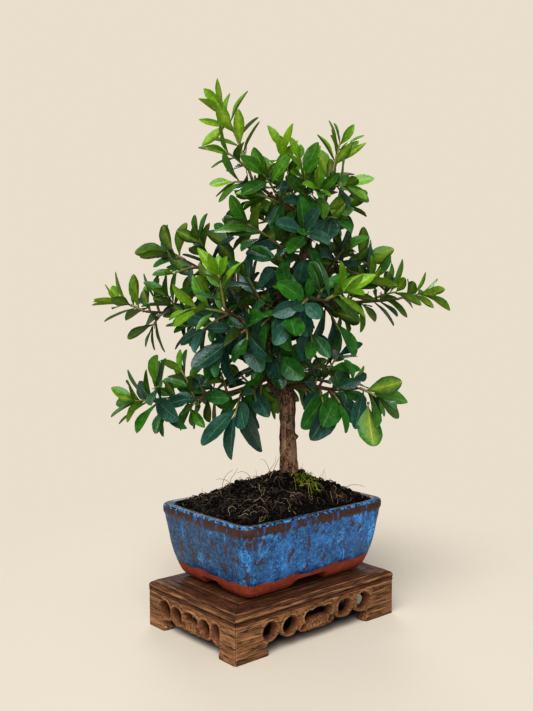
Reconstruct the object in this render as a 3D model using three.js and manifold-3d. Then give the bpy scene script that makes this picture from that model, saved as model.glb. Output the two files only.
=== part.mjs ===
// Scarlet firethorn bonsai in a glazed pot on a carved wooden stand.
// Millimetres, +Z up. The origin is on the floor under the middle of the whole outline.
import * as THREE from "three";
import { mergeVertices } from "three/addons/utils/BufferGeometryUtils.js";
import Module from "manifold-3d";

const wasm = await Module();
wasm.setup();

// Driving dimensions
const GAP = 0.3; // clearance between neighbours that aren't glued face to face
const STAND = { length: 165, depth: 109, height: 35.8, at: [-8.6, -14.8] };
const SLAB = { thickness: 8, rail: 20, lip: 3, lipThickness: 2.8 };
const APRON = { thickness: 9, underside: 6.6, legLong: 32, legShort: 20.5, legChamfer: 1 };
const POT = { length: 150, depth: 110, height: 59.2, corner: 10, cornerFall: 0.25, cornerLeast: 3,
  cornerPoints: 4, longPoints: 3, shortPoints: 2, bow: 0.012, at: [4, 4], wall: 7, floor: 13 };
const FOOT = { lift: 8.5, inset: 17.5, band: 7, archLong: 40, archShort: 27, flare: 1.5, shoulder: 6 };
const DRAIN = { spacing: 62, radius: 6.5, sides: 10, meshRadius: 11, meshThickness: 1, meshSides: 12 };
const SOIL = { edge: 57.2, peak: 83.2, fall: 1, lump: 3.4, round: 52, turn: 25, holeSides: 16, seed: 7,
  shares: [0.87, 0.72, 0.56, 0.4, 0.24, 0.1] };
const TREE = { at: [20, 4], turn: -40.7, stemFoot: 80 };
const MOSS = { at: [6.5, -15.5], radius: 8.5, height: 4, blades: 15, blade: 0.75, taper: 0.25,
  seed: 23 };
const TWIG = { start: 1.2, end: 0.8, sides: 4, arch: 0.1, segment: 20 };
const LEAF = { keel: 0.6, fold: 0.25, goldenAngle: 137.5, rooted: 0.17,
  clearance: 0.75, tries: 16 };

// Limbs: where the wood goes, from the tree's front: right, away and up,
// with the radii from one end to the other
const LIMBS = {
  trunk: { radii: [7.4, 7.8, 7.4, 6.6, 6.3, 6.2, 6.1, 5.8, 5.4, 5, 4.4, 3.8, 3.2, 2.6], sides: 8, route: [
    [0, 0, TREE.stemFoot], [0, 0, 112], [-0.8, 0, 149],
    [-1, 0, 176], [-10, -2, 189], [-16, -3, 206], [-17, -2, 227], [-13, 0, 245], [-4, 3, 262],
    [7, 3, 281], [14, 1, 297], [19, 0, 313]] },
  low_left: { radii: [3, 1.3], sides: 5,
    route: [[-14, -2, 196], [-39, -14, 184], [-67, -26, 180], [-94, -38, 176]] },
  low_right: { radii: [2.8, 1.3], sides: 5,
    route: [[-5, -1, 183], [13, -12, 188], [34, -24, 186], [54, -33, 188]] },
  low_back: { radii: [2.8, 1.3], sides: 5,
    route: [[-13, 0, 194], [-4, 30, 188], [8, 62, 186]] },
  long_left: { radii: [2.6, 1.2], sides: 5,
    route: [[-17, -2, 231], [-44, 6, 241], [-73, 12, 243], [-118, 15, 246]] },
  front_left: { radii: [2.2, 1.2], sides: 5,
    route: [[-17, -2, 224], [-26, -18, 232], [-39, -38, 242], [-49, -54, 250]] },
  front: { radii: [2.2, 1.2], sides: 5,
    route: [[-13, 0, 244], [-1, -24, 253], [12, -48, 257], [25, -66, 256]] },
  long_right: { radii: [2.4, 1.2], sides: 5,
    route: [[-12, 0, 249], [17, 6, 252], [46, 8, 253], [88, 8, 256]] },
  back_left: { radii: [2.4, 1.2], sides: 5,
    route: [[-16, 0, 236], [-30, 32, 246], [-44, 68, 254]] },
  back_right: { radii: [2.4, 1.2], sides: 5,
    route: [[-9, 1, 254], [14, 34, 262], [40, 62, 268]] },
  high_left: { radii: [2.2, 1.2], sides: 5,
    route: [[-8, 2, 256], [-44, 14, 270], [-70, 22, 280], [-85, 28, 288]] },
  mid_right: { radii: [2, 1.2], sides: 5,
    route: [[8, 3, 283], [30, 9, 279], [51, 18, 285]] },
  high_back: { radii: [2, 1.2], sides: 5,
    route: [[12, 2, 292], [8, 26, 306], [2, 48, 320]] },
  leader: { radii: [2.4, 1.3], sides: 5,
    route: [[19, 0, 312], [5, -4, 325], [-11, -8, 335], [-29, -8, 350]] },
  right_leader: { radii: [2.2, 1.2], sides: 5,
    route: [[19, 0, 312], [25, -8, 325], [31, -12, 342], [34, -12, 355]] },
};

// Leafy shoots: name, what it grows on, how far along that, its tip, number of leaves,
// leaf length, youth from 0 to 1, and lift: above 0 the leaves stand up, below 0 they hang
const SHOOTS = [
  ["leader_tip", "leader", 1, [-55, -5, 412], 13, 26, 1, 0.3],
  ["leader_left", "leader", 0.9, [-44, -18, 347], 6, 26, 0.5, 0],
  ["leader_front", "leader", 0.55, [-20, -34, 351], 9, 28, 0.4, 0.2],
  ["crown_tuft", "leader", 0.3, [-7, -12, 380], 13, 24, 0.8, 0.5],
  ["crown_front", "leader", 0.12, [11, -34, 353], 10, 27, 0.3, 0.2],
  ["crown_back", "leader", 0.4, [-12, 24, 362], 10, 26, 0.2, 0.3],
  ["crown_left", "leader", 0.18, [-32, 8, 337], 8, 26, 0.2, 0],
  ["right_tip", "right_leader", 1, [40, -12, 379], 11, 23, 0.9, 0.45],
  ["right_out", "right_leader", 0.75, [44, -21, 344], 9, 27, 0.4, 0.1],
  ["right_side", "right_leader", 0.35, [47, 6, 330], 9, 28, 0.3, 0.1],
  ["right_front", "right_leader", 0.5, [20, -42, 340], 9, 26, 0.6, 0.2],
  ["right_back", "right_leader", 0.6, [34, 26, 356], 9, 25, 0.3, 0.3],
  ["breast_left", "trunk", 0.875, [-34, -22, 315], 9, 32, 0.3, 0.1],
  ["breast_front", "trunk", 0.93, [10, -44, 309], 9, 29, 0.1, 0],
  ["high_left_tip", "high_left", 1, [-102, 30, 296], 11, 28, 0.3, 0.3],
  ["high_left_mid", "high_left", 0.65, [-73, 4, 306], 9, 28, 0.2, 0.3],
  ["high_left_up", "high_left", 0.4, [-52, 24, 311], 9, 27, 0.1, 0.2],
  ["high_left_low", "high_left", 0.8, [-82, 50, 272], 6, 24, 0.1, 0],
  ["long_left_tip", "long_left", 1, [-140, 16, 254], 11, 26, 0.8, 0.3],
  ["long_left_up", "long_left", 0.72, [-98, 0, 259], 7, 25, 0.4, 0.2],
  ["long_left_low", "long_left", 0.5, [-80, -8, 230], 8, 24, 0.1, -0.2],
  ["long_left_back", "long_left", 0.55, [-88, 44, 246], 6, 25, 0.1, 0],
  ["bright_left", "front_left", 1, [-53, -62, 275], 11, 26, 0.9, 0.4],
  ["bright_outer", "front_left", 0.75, [-74, -54, 250], 9, 26, 0.9, 0.1],
  ["front_left_hang", "front_left", 0.5, [-32, -56, 226], 8, 28, 0, -0.8],
  ["front_tip", "front", 1, [39, -73, 262], 10, 27, 0.8, 0.1],
  ["front_hang", "front", 0.6, [-2, -62, 240], 9, 29, 0, -0.8],
  ["front_low", "trunk", 0.55, [-10, -34, 212], 8, 30, 0, -0.7],
  ["long_right_tip", "long_right", 1, [112, 8, 260], 11, 25, 0.6, 0.2],
  ["long_right_up", "long_right", 0.6, [66, -12, 273], 9, 28, 0.4, 0.3],
  ["long_right_hang", "long_right", 0.4, [40, -18, 231], 8, 29, 0.1, -0.7],
  ["mid_right_tip", "mid_right", 1, [64, 22, 288], 10, 27, 0.4, 0],
  ["mid_right_front", "mid_right", 0.55, [44, -16, 296], 9, 27, 0.2, 0.1],
  ["low_left_tip", "low_left", 1, [-118, -48, 180], 12, 31, 0.4, 0.1],
  ["low_left_up", "low_left", 0.75, [-84, -30, 202], 9, 27, 0.5, 0.2],
  ["low_left_front", "low_left", 0.3, [-42, -44, 167], 8, 36, 0, -0.8],
  ["low_left_back", "low_left", 0.55, [-62, 10, 184], 8, 27, 0.1, -0.1],
  ["low_right_tip", "low_right", 1, [69, -38, 180], 10, 30, 0.4, -0.5],
  ["low_right_hang", "low_right", 0.6, [38, -46, 178], 7, 36, 0, -0.9],
  ["low_right_up", "low_right", 0.5, [40, -8, 212], 8, 28, 0.2, 0.1],
  ["low_back_tip", "low_back", 1, [14, 92, 190], 9, 27, 0.3, 0],
  ["low_back_side", "low_back", 0.6, [40, 52, 198], 8, 27, 0.1, 0],
  ["back_left_tip", "back_left", 1, [-54, 92, 264], 10, 26, 0.4, 0.1],
  ["back_right_tip", "back_right", 1, [58, 84, 278], 10, 26, 0.4, 0.2],
  ["high_back_tip", "high_back", 1, [-4, 68, 332], 10, 25, 0.5, 0.3],
  ["low_back_left", "low_back_tip", 0.2, [-26, 78, 196], 6, 27, 0.1, 0],
  ["back_left_side", "back_left_tip", 0.15, [-20, 96, 246], 6, 26, 0.2, 0],
  ["back_right_side", "back_right_tip", 0.15, [30, 92, 258], 6, 26, 0.2, -0.1],
  ["high_back_side", "high_back_tip", 0.2, [34, 62, 322], 8, 25, 0.3, 0.2],
  ["high_back_left", "high_back_tip", 0.25, [-40, 62, 316], 8, 25, 0.2, 0.1],
  ["hang_outer", "front_left_hang", 0.4, [-56, -48, 214], 7, 32, 0, -0.8],
  ["low_left_out", "low_left_tip", 0.4, [-100, -56, 192], 6, 32, 0.3, 0.1],
  ["low_left_under", "low_left_tip", 0.1, [-94, -50, 174], 5, 27, 0.1, -0.5],
];

// Materials
const finish = (color, roughness) => () =>
  new THREE.MeshStandardMaterial({ color, roughness, metalness: 0, flatShading: true });
const WOOD = finish(0x6b4630, 0.6);
const CLAY = finish(0x2f6fa8, 0.18);
const EARTH = finish(0x1d1611, 0.95);
const PLASTIC = finish(0x2a2d2b, 0.5);
const BARK = finish(0x6a4e3c, 0.85);
const MOSS_GREEN = finish(0x8fa52a, 0.9);
const LEAF_YOUNG = finish(0x6f9a22, 0.4);
const LEAF_MATURE = finish(0x1f5a38, 0.35);

const rad = THREE.MathUtils.degToRad;
const vec = (x, y, z) => new THREE.Vector3(x, y, z);
const UP = vec(0, 0, 1);

// Solids: a position-only geometry and back
function solid(geometry) {
  const bare = new THREE.BufferGeometry();
  bare.setAttribute("position", geometry.getAttribute("position").clone());
  if (geometry.index) bare.setIndex(geometry.index.clone());
  const merged = mergeVertices(bare, 1e-4);
  return new wasm.Manifold(new wasm.Mesh({
    numProp: 3,
    vertProperties: new Float32Array(merged.attributes.position.array),
    triVerts: new Uint32Array(merged.index.array),
  }));
}

// The largest body of a solid, without crumbs cut loose or hollows closed in between leaves
function mainBody(shape) {
  return shape.decompose().reduce((best, body) => (body.volume() > best.volume() ? body : best));
}

function geometryOf(shape) {
  const mesh = shape.getMesh();
  const geometry = new THREE.BufferGeometry();
  geometry.setAttribute("position", new THREE.BufferAttribute(new Float32Array(mesh.vertProperties), 3));
  geometry.setIndex(new THREE.BufferAttribute(new Uint32Array(mesh.triVerts), 1));
  const flat = geometry.toNonIndexed();
  flat.computeVertexNormals();
  return flat;
}

function node(name, shape, material, parent) {
  const mesh = new THREE.Mesh(geometryOf(shape), material());
  mesh.name = name;
  parent.add(mesh);
  return mesh;
}

// A skin over rings of equally many points, closed by a fan at each end
function loft(rings) {
  const count = rings[0].length;
  const positions = rings.flat().flatMap((p) => [p.x, p.y, p.z]);
  const index = [];
  for (let k = 0; k < rings.length - 1; k++) {
    for (let i = 0; i < count; i++) {
      const a = k * count + i;
      const b = k * count + ((i + 1) % count);
      index.push(a, b, b + count, a, b + count, a + count);
    }
  }
  const last = (rings.length - 1) * count;
  for (let i = 1; i < count - 1; i++) {
    index.push(0, i + 1, i, last, last + i, last + i + 1);
  }
  const geometry = new THREE.BufferGeometry();
  geometry.setAttribute("position", new THREE.Float32BufferAttribute(positions, 3));
  geometry.setIndex(index);
  return solid(geometry);
}

// A prism: a shape drawn in the XY plane and pulled up along Z, then turned by a matrix
function prism(shape, height, turn = new THREE.Matrix4()) {
  const options = { depth: height, bevelEnabled: false, curveSegments: 4 };
  return solid(new THREE.ExtrudeGeometry(shape, options).applyMatrix4(turn));
}

function cylinder(radius, low, high, sides, x = 0, y = 0) {
  const ring = (z) => Array.from({ length: sides }, (_, i) => {
    const angle = (2 * Math.PI * (i + 0.5)) / sides;
    return vec(x + radius * Math.cos(angle), y + radius * Math.sin(angle), z);
  });
  return loft([ring(low), ring(high)]);
}

// One draw after another from 0 to 1, the same for the same seed
function draws(seed) {
  let state = (seed % 2147483646) + 1;
  const next = () => {
    state = (state * 16807) % 2147483647;
    return state / 2147483647;
  };
  for (let i = 0; i < 4; i++) next();
  return next;
}

const part = new THREE.Group();
const standGroup = new THREE.Group();
standGroup.position.set(STAND.at[0], STAND.at[1], 0);
part.add(standGroup);

// Stand: four mitred apron boards with legs, four mitred top rails and a loose panel
const SLAB_UNDERSIDE = STAND.height - SLAB.thickness;

// Each pierced hole: centre along the board and up, half its width and height
const PIERCED = {
  long: [[-49.5, 17.4, 7.2, 6.4], [-29, 16.8, 7.2, 6.2], [0, 19, 13.5, 4.2], [27.8, 17.4, 7.2, 6],
    [48.5, 17.6, 7.2, 6.4], [-15.4, 11.6, 2.2, 1.9], [13.4, 12, 2.2, 2]],
  short: [[-33.4, 17, 6.4, 6.6], [-18.4, 16.2, 6.2, 6.2], [-0.5, 18.8, 8.6, 3.8], [17, 16.4, 6, 6.2],
    [30.8, 16.8, 5.2, 6.6], [-9.6, 11.4, 2.1, 1.9], [7.4, 11.4, 2, 2]],
};

// Lower edge of a board from its middle to the leg: share of the way there, and rise from the underside
const SCALLOPS = [[0, 0.4], [0.2, -1], [0.4, 0.6], [0.66, -1]];
// The bracket curve at the leg: distance from it, and rise from the underside
const BRACKET = [[8, 0.8], [3, 1.6], [0, 0]];
const HOLE = { points: 8, squareness: 1.06 };

const pointsOf = (list) => list.map(([x, z]) => new THREE.Vector2(x, z));
const mirroredBefore = (list) => {
  const mirrored = list.filter(([x]) => x > 0).map(([x, z]) => [-x, z]);
  return [...mirrored.reverse(), ...list];
};

function piercedHole([x, z, halfWidth, halfHeight]) {
  const round = Array.from({ length: HOLE.points }, (_, i) => {
    const angle = (2 * Math.PI * (i + 0.5)) / HOLE.points;
    return [
      x + HOLE.squareness * halfWidth * Math.cos(angle),
      z + HOLE.squareness * halfHeight * Math.sin(angle),
    ];
  });
  return new THREE.Path(pointsOf(round));
}

// The board's face: two legs, the bracket curve beside each leg and a scalloped lower edge between them
function apronFace(length, leg, holes) {
  const half = length / 2;
  const inner = half - leg;
  const rightHalf = [
    ...SCALLOPS.map(([share, rise]) => [inner * share, APRON.underside + rise]),
    ...BRACKET.map(([away, rise]) => [inner - away, APRON.underside + rise]),
    [inner, APRON.legChamfer],
    [inner + APRON.legChamfer, 0],
    [half, 0],
    [half, SLAB_UNDERSIDE],
  ];
  const face = new THREE.Shape(pointsOf(mirroredBefore(rightHalf)));
  face.holes = holes.map(piercedHole);
  return face;
}

// Board with its face at y = 0 and its back at y = thickness, both ends cut to the mitre
function apronBoard(length, leg, holes) {
  const stood = new THREE.Matrix4().makeRotationX(Math.PI / 2);
  stood.setPosition(0, APRON.thickness, 0);
  const board = prism(apronFace(length, leg, holes), APRON.thickness, stood);
  const slack = GAP * Math.SQRT1_2;
  const reach = APRON.thickness + 1;
  const wedge = new THREE.Shape();
  wedge.moveTo(length / 2 - slack + 1, -1);
  wedge.lineTo(length / 2 - slack - reach, reach);
  wedge.lineTo(length / 2 + reach, reach);
  wedge.lineTo(length / 2 + reach, -1);
  wedge.closePath();
  const sunk = new THREE.Matrix4().makeTranslation(0, 0, -1);
  const mitre = prism(wedge, SLAB_UNDERSIDE + 2, sunk);
  const mirrored = prism(wedge, SLAB_UNDERSIDE + 2, sunk).mirror([1, 0, 0]);
  return board.subtract(mitre).subtract(mirrored);
}

// Rail along X with its outer edge at y = 0: ovolo, groove and bead outside, a lip under the panel inside
const RAIL_PROFILE = [
  [0.4, 0], [0, 0.9], [0.4, 1.8], [1.4, 2.3], [0.4, 3], [0, 4.4], [0.8, 6.4], [2.6, 7.6],
  [4.4, SLAB.thickness], [SLAB.rail, SLAB.thickness], [SLAB.rail, SLAB.lipThickness],
  [SLAB.rail + SLAB.lip, SLAB.lipThickness], [SLAB.rail + SLAB.lip, 0],
];

function topRail(length) {
  const slack = GAP * Math.SQRT1_2;
  const end = (side) => RAIL_PROFILE.map(([inward, up]) =>
    vec(side * (length / 2 - inward - slack), inward, SLAB_UNDERSIDE + up));
  return loft([end(1), end(-1)]);
}

const SIDES = [
  ["front", 0, STAND.length, STAND.depth, APRON.legLong, PIERCED.long],
  ["right", 90, STAND.depth, STAND.length, APRON.legShort, PIERCED.short],
  ["back", 180, STAND.length, STAND.depth, APRON.legLong, PIERCED.long],
  ["left", 270, STAND.depth, STAND.length, APRON.legShort, PIERCED.short],
];
for (const [side, turn, length, across, leg, holes] of SIDES) {
  const sideGroup = new THREE.Group();
  sideGroup.rotation.z = rad(turn);
  standGroup.add(sideGroup);
  for (const [name, shape] of [
    ["stand_apron_" + side, apronBoard(length, leg, holes)],
    ["stand_rail_" + side, topRail(length)],
  ]) {
    node(name, shape, WOOD, sideGroup).position.y = -across / 2;
  }
}

const panelInset = 2 * (SLAB.rail + GAP);
const panelThickness = SLAB.thickness - SLAB.lipThickness;
const panel = new THREE.BoxGeometry(STAND.length - panelInset, STAND.depth - panelInset, panelThickness);
node("stand_panel", solid(panel), WOOD, standGroup).position.z = STAND.height - panelThickness / 2;

// Pot: rounded rectangular rings, each with its inset from the rim's outline and its height
const potGroup = new THREE.Group();
potGroup.position.set(POT.at[0], POT.at[1], STAND.height);
standGroup.add(potGroup);

function potRing(inset, z) {
  const halfLength = POT.length / 2 - inset;
  const halfDepth = POT.depth / 2 - inset;
  const corner = Math.max(POT.cornerLeast, POT.corner - POT.cornerFall * inset);
  const arc = POT.cornerPoints;
  const corners = [[1, 1], [-1, 1], [-1, -1], [1, -1]].map(([sx, sy], quarter) =>
    Array.from({ length: arc }, (_, i) => {
      const angle = (Math.PI / 2) * (quarter + i / (arc - 1));
      const x = sx * (halfLength - corner) + corner * Math.cos(angle);
      return vec(x, sy * (halfDepth - corner) + corner * Math.sin(angle), z);
    }));
  return corners.flatMap((points, quarter) => {
    const next = corners[(quarter + 1) % 4][0];
    const count = quarter % 2 ? POT.shortPoints : POT.longPoints;
    const between = Array.from({ length: count }, (_, i) => (i + 1) / (count + 1));
    return [...points, ...between.map((share) => points[arc - 1].clone().lerp(next, share))];
  }).map((p) => vec(
    p.x * (1 - POT.bow * (p.y / halfDepth) ** 2),
    p.y * (1 - POT.bow * (p.x / halfLength) ** 2),
    z,
  ));
}

const OUTER_WALL = [
  [FOOT.inset + 1, 0], [14, 3], [10.4, 8.5], [8.2, 14.5], [5, 27], [2.6, 41], [1, 50],
  [0.2, 53.6], [0, 57.6], [0.9, POT.height],
];
const INNER_WALL = [
  [POT.wall - 0.8, POT.height], [POT.wall, 57.8], [POT.wall + 3, 36], [POT.wall + 9, POT.floor],
];

function archCut(width, span, turn) {
  const rightHalf = [
    [width / 2 - FOOT.shoulder, FOOT.lift],
    [width / 2 - FOOT.flare, FOOT.lift / 2],
    [width / 2 + 1, -1],
  ];
  const arch = new THREE.Shape(pointsOf(mirroredBefore(rightHalf)));
  const along = new THREE.Matrix4().makeRotationX(Math.PI / 2).setPosition(0, span / 2, 0);
  return prism(arch, span, new THREE.Matrix4().makeRotationZ(turn).multiply(along));
}

const drainX = [-DRAIN.spacing / 2, DRAIN.spacing / 2];
let pot = loft([
  potRing(FOOT.inset + FOOT.band, FOOT.lift),
  potRing(FOOT.inset + FOOT.band, 0),
  ...OUTER_WALL.map(([inset, z]) => potRing(inset, z)),
  ...INNER_WALL.map(([inset, z]) => potRing(inset, z)),
]);
pot = pot.subtract(archCut(FOOT.archLong, POT.depth, 0));
pot = pot.subtract(archCut(FOOT.archShort, POT.length, Math.PI / 2));
for (const x of drainX) {
  pot = pot.subtract(cylinder(DRAIN.radius, 0, POT.height / 2, DRAIN.sides, x));
}
node("pot", pot, CLAY, potGroup);
drainX.forEach((x, i) => {
  const top = POT.floor + DRAIN.meshThickness;
  const mesh = cylinder(DRAIN.meshRadius, POT.floor, top, DRAIN.meshSides, x);
  node("drain_mesh_" + (i + 1), mesh, PLASTIC, potGroup);
});

// Soil: fills the pot and rises in lumps to the stem, which stands in a plain round hole
const stemAt = vec(TREE.at[0] - POT.at[0], TREE.at[1] - POT.at[1], SOIL.peak);

function soilRings() {
  const draw = draws(SOIL.seed);
  const walls = INNER_WALL.slice(1).reverse();
  const wall = walls.map(([inset, z]) => potRing(inset + GAP, Math.min(z, SOIL.edge)));
  const rim = wall[wall.length - 1];
  const innermost = Math.min(...SOIL.shares);
  const slope = SOIL.shares.map((share) => rim.map((p, i) => {
    const angle = rad(SOIL.turn + (360 * i) / rim.length);
    const round = vec(Math.cos(angle), Math.sin(angle), 0).multiplyScalar(SOIL.round * share).add(stemAt);
    const rise = (SOIL.peak - SOIL.edge) * (1 - share) ** SOIL.fall;
    const lump = share > innermost ? SOIL.lump * (draw() - 0.5) : 0;
    return round.lerp(stemAt.clone().lerp(p, share), share).setZ(SOIL.edge + rise + lump);
  }));
  return [...wall, ...slope];
}

let soil = loft(soilRings());
for (const x of drainX) {
  const top = POT.floor + DRAIN.meshThickness + GAP;
  soil = soil.subtract(cylinder(DRAIN.meshRadius + GAP, 0, top, DRAIN.meshSides, x));
}
const holeFloor = TREE.stemFoot - STAND.height - GAP;
const holeRadius = (Math.max(...LIMBS.trunk.radii) + 2 * GAP) / Math.cos(Math.PI / SOIL.holeSides);
const holeTop = SOIL.peak + SOIL.lump;
soil = soil.subtract(
  cylinder(holeRadius, holeFloor, holeTop, SOIL.holeSides, stemAt.x, stemAt.y),
);
node("soil", soil, EARTH, potGroup);

// Moss: a low cushion with three-sided blades, cut to the soil's surface beside the stem
const soilFace = new THREE.Mesh(geometryOf(soil), EARTH());
function soilTop(x, y) {
  const ray = new THREE.Raycaster(vec(x, y, 2 * POT.height), vec(0, 0, -1));
  return ray.intersectObject(soilFace)[0].point.z;
}

function mossTuft() {
  const grow = draws(MOSS.seed);
  const centreX = stemAt.x + MOSS.at[0];
  const centreY = stemAt.y + MOSS.at[1];
  const ring = (radius, lift) => Array.from({ length: 8 }, (_, i) => {
    const angle = (Math.PI * i) / 4;
    const x = centreX + radius * Math.cos(angle);
    const y = centreY + radius * Math.sin(angle);
    return vec(x, y, soilTop(x, y) + lift);
  });
  let tuft = loft([
    ring(MOSS.radius, -4),
    ring(MOSS.radius, 1),
    ring(MOSS.radius * 0.75, MOSS.height * 0.7),
    ring(MOSS.radius * 0.3, MOSS.height),
  ]);
  for (let i = 0; i < MOSS.blades; i++) {
    const angle = rad(i * LEAF.goldenAngle);
    const share = Math.sqrt((i + 0.5) / MOSS.blades);
    const out = vec(Math.cos(angle), Math.sin(angle), 0);
    const foot = vec(centreX, centreY, 0).addScaledVector(out, share * MOSS.radius * 0.85);
    foot.z = soilTop(foot.x, foot.y) + 0.8;
    const tip = foot.clone().addScaledVector(out, 1 + 5 * share * grow());
    tip.z += MOSS.height + 4 + 3 * grow();
    const base = [0, 120, 240].map((turn) => {
      const a = rad(turn) + angle;
      return vec(foot.x + MOSS.blade * Math.cos(a), foot.y + MOSS.blade * Math.sin(a), foot.z);
    });
    const point = base.map((p) => tip.clone().add(p.clone().sub(foot).multiplyScalar(MOSS.taper)));
    tuft = tuft.add(loft([base, point]));
  }
  return mainBody(tuft.subtract(soil.translate([0, 0, GAP])));
}
node("moss_tuft", mossTuft(), MOSS_GREEN, potGroup);

// Tree: everything that grew, turned so that its front faces the pot's front left corner
const tree = new THREE.Group();
tree.position.set(TREE.at[0], TREE.at[1], 0);
tree.rotation.z = rad(TREE.turn);
standGroup.add(tree);

// The value at a share of the way through a list
function valueAt(list, share) {
  const at = share * (list.length - 1);
  const before = Math.min(Math.floor(at), list.length - 2);
  return THREE.MathUtils.lerp(list[before], list[before + 1], at - before);
}

// Tapered wood along a curve, grown all round and at its end by a clearance
function wood(curve, radii, sides, steps, grow = 0) {
  const frames = curve.computeFrenetFrames(steps, false);
  const rings = [];
  for (let k = 0; k <= steps; k++) {
    const radius = valueAt(radii, k / steps) + grow;
    const centre = curve.getPointAt(k / steps);
    if (k === steps) centre.addScaledVector(frames.tangents[k], grow);
    rings.push(Array.from({ length: sides }, (_, i) => {
      const angle = (2 * Math.PI * i) / sides;
      return centre.clone()
        .addScaledVector(frames.normals[k], radius * Math.cos(angle))
        .addScaledVector(frames.binormals[k], radius * Math.sin(angle));
    }));
  }
  return loft(rings);
}

const limbs = {};
for (const [name, { radii, sides, route }] of Object.entries(LIMBS)) {
  const curve = new THREE.CatmullRomCurve3(route.map((p) => vec(...p)), false, "catmullrom", 0.5);
  const steps = Math.max(4, radii.length - 1);
  limbs[name] = { curve, radii, grown: (grow) => wood(curve, radii, sides, steps, grow) };
}

// Shoots: a tapered twig on a quadratic curve that arches up a little
const shoots = SHOOTS.map(([name, on, at, tip, leaves, size, youth, lift], index) => {
  const radii = [TWIG.start, TWIG.end];
  return { name, on, at, tip: vec(...tip), leaves, size, youth, lift, index, radii };
});
const shootNamed = {};
for (const shoot of shoots) {
  const parent = limbs[shoot.on] ?? shootNamed[shoot.on];
  const start = parent.curve.getPointAt(shoot.at);
  const middle = start.clone().lerp(shoot.tip, 0.5);
  middle.z += TWIG.arch * start.distanceTo(shoot.tip);
  shoot.curve = new THREE.QuadraticBezierCurve3(start, middle, shoot.tip);
  shoot.node = limbs[shoot.on] ? shoot.name : parent.node;
  shootNamed[shoot.name] = shoot;
}

// Half the blade's width at a share of its length, for a blade whose widest half is 1
const outline = (share) => Math.sin(Math.PI * Math.min(share, 0.9999) ** 1.27) ** 0.6;

// Where a leaf sits and how it lies: foot, axis, across, upper side, sizes
function leafPose(shoot, number, attempt) {
  const draw = draws(shoot.index * 7919 + number * 613 + attempt * 104729);
  const order = number / (shoot.leaves - 1);
  const along = 0.2 + 0.76 * (1 - (1 - order) ** 1.4);
  const foot = shoot.curve.getPoint(along);
  const tangent = shoot.curve.getTangent(along);
  const sideways = vec(tangent.y, -tangent.x, 0).normalize();
  const upright = sideways.clone().cross(tangent).normalize();
  const spread = attempt < 2 ? 30 : 140;
  const azimuth = rad(number * LEAF.goldenAngle + shoot.index * 47 + spread * (draw() - 0.5));
  const lean = rad(68 - 44 * order ** 1.5 + 24 * (draw() - 0.5));
  const axis = tangent.clone().multiplyScalar(Math.cos(lean))
    .addScaledVector(sideways, Math.sin(lean) * Math.cos(azimuth))
    .addScaledVector(upright, Math.sin(lean) * Math.sin(azimuth))
    .addScaledVector(UP, shoot.lift * (0.6 + 0.8 * draw()))
    .normalize();
  const outward = vec(foot.x, foot.y, 0).normalize();
  const facing = tangent.clone().multiplyScalar(0.4)
    .addScaledVector(UP, 0.6)
    .addScaledVector(outward, 0.9 - Math.min(shoot.lift, 0));
  facing.x += 0.5 * (draw() - 0.5);
  facing.y += 0.5 * (draw() - 0.5);
  const upper = facing.addScaledVector(axis, -facing.dot(axis)).normalize();
  const across = axis.clone().cross(upper);
  const shrink = attempt < 6 ? 1 : 0.72;
  const length = shrink * shoot.size * (0.82 + 0.36 * draw()) * (1 - 0.3 * order ** 4);
  const halfWidth = length * (0.235 - 0.035 * shoot.youth + 0.04 * draw());
  const bend = 0.03 + 0.16 * draw() * (1 - 0.5 * shoot.youth);
  return { foot, axis, across, upper, length, halfWidth, bend, shoot };
}

// A point of the blade: share along it, share across it, height above its middle line
function bladePoint(leaf, along, across, above) {
  const width = leaf.halfWidth * outline(along) * across;
  return leaf.foot.clone()
    .addScaledVector(leaf.axis, leaf.length * along)
    .addScaledVector(leaf.across, width)
    .addScaledVector(leaf.upper, above - leaf.bend * leaf.length * along * along);
}

const foldAt = (leaf, along) => LEAF.fold * leaf.halfWidth * outline(along);

// Points spread over a blade, for keeping it clear of its neighbours
function bladeSamples(leaf, from) {
  const samples = [];
  for (let row = 0; row < 9; row++) {
    const along = from + ((1 - from) * row) / 8;
    for (const across of [-1, -0.5, 0, 0.5, 1]) {
      samples.push(bladePoint(leaf, along, across, Math.abs(across) * foldAt(leaf, along)));
    }
  }
  return samples;
}

// Whether a point, with a clearance round it, is in the slab that holds a blade past a share of its length
function insideBlade(leaf, point, clearance, from) {
  const dx = point.x - leaf.foot.x;
  const dy = point.y - leaf.foot.y;
  const dz = point.z - leaf.foot.z;
  const along = (dx * leaf.axis.x + dy * leaf.axis.y + dz * leaf.axis.z) / leaf.length;
  if (along < from || along > 1 + clearance / leaf.length) return false;
  const share = Math.min(Math.max(along, 0.02), 0.98);
  const half = leaf.halfWidth * outline(share);
  const across = dx * leaf.across.x + dy * leaf.across.y + dz * leaf.across.z;
  if (Math.abs(across) > half + clearance) return false;
  const above = dx * leaf.upper.x + dy * leaf.upper.y + dz * leaf.upper.z;
  const halfThickness = 0.5 * (LEAF.fold * half + LEAF.keel);
  const middle = halfThickness - LEAF.keel - leaf.bend * leaf.length * along * along;
  return Math.abs(above - middle) < halfThickness + clearance;
}

// Points along all the wood, each with the wood's radius there
const woodPoints = [];
for (const limb of [...Object.values(limbs), ...shoots]) {
  const count = Math.ceil(limb.curve.getLength() / 2);
  for (let k = 0; k <= count; k++) {
    const t = k / count;
    woodPoints.push({ point: limb.curve.getPointAt(t), radius: valueAt(limb.radii, t), limb });
  }
}

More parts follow.
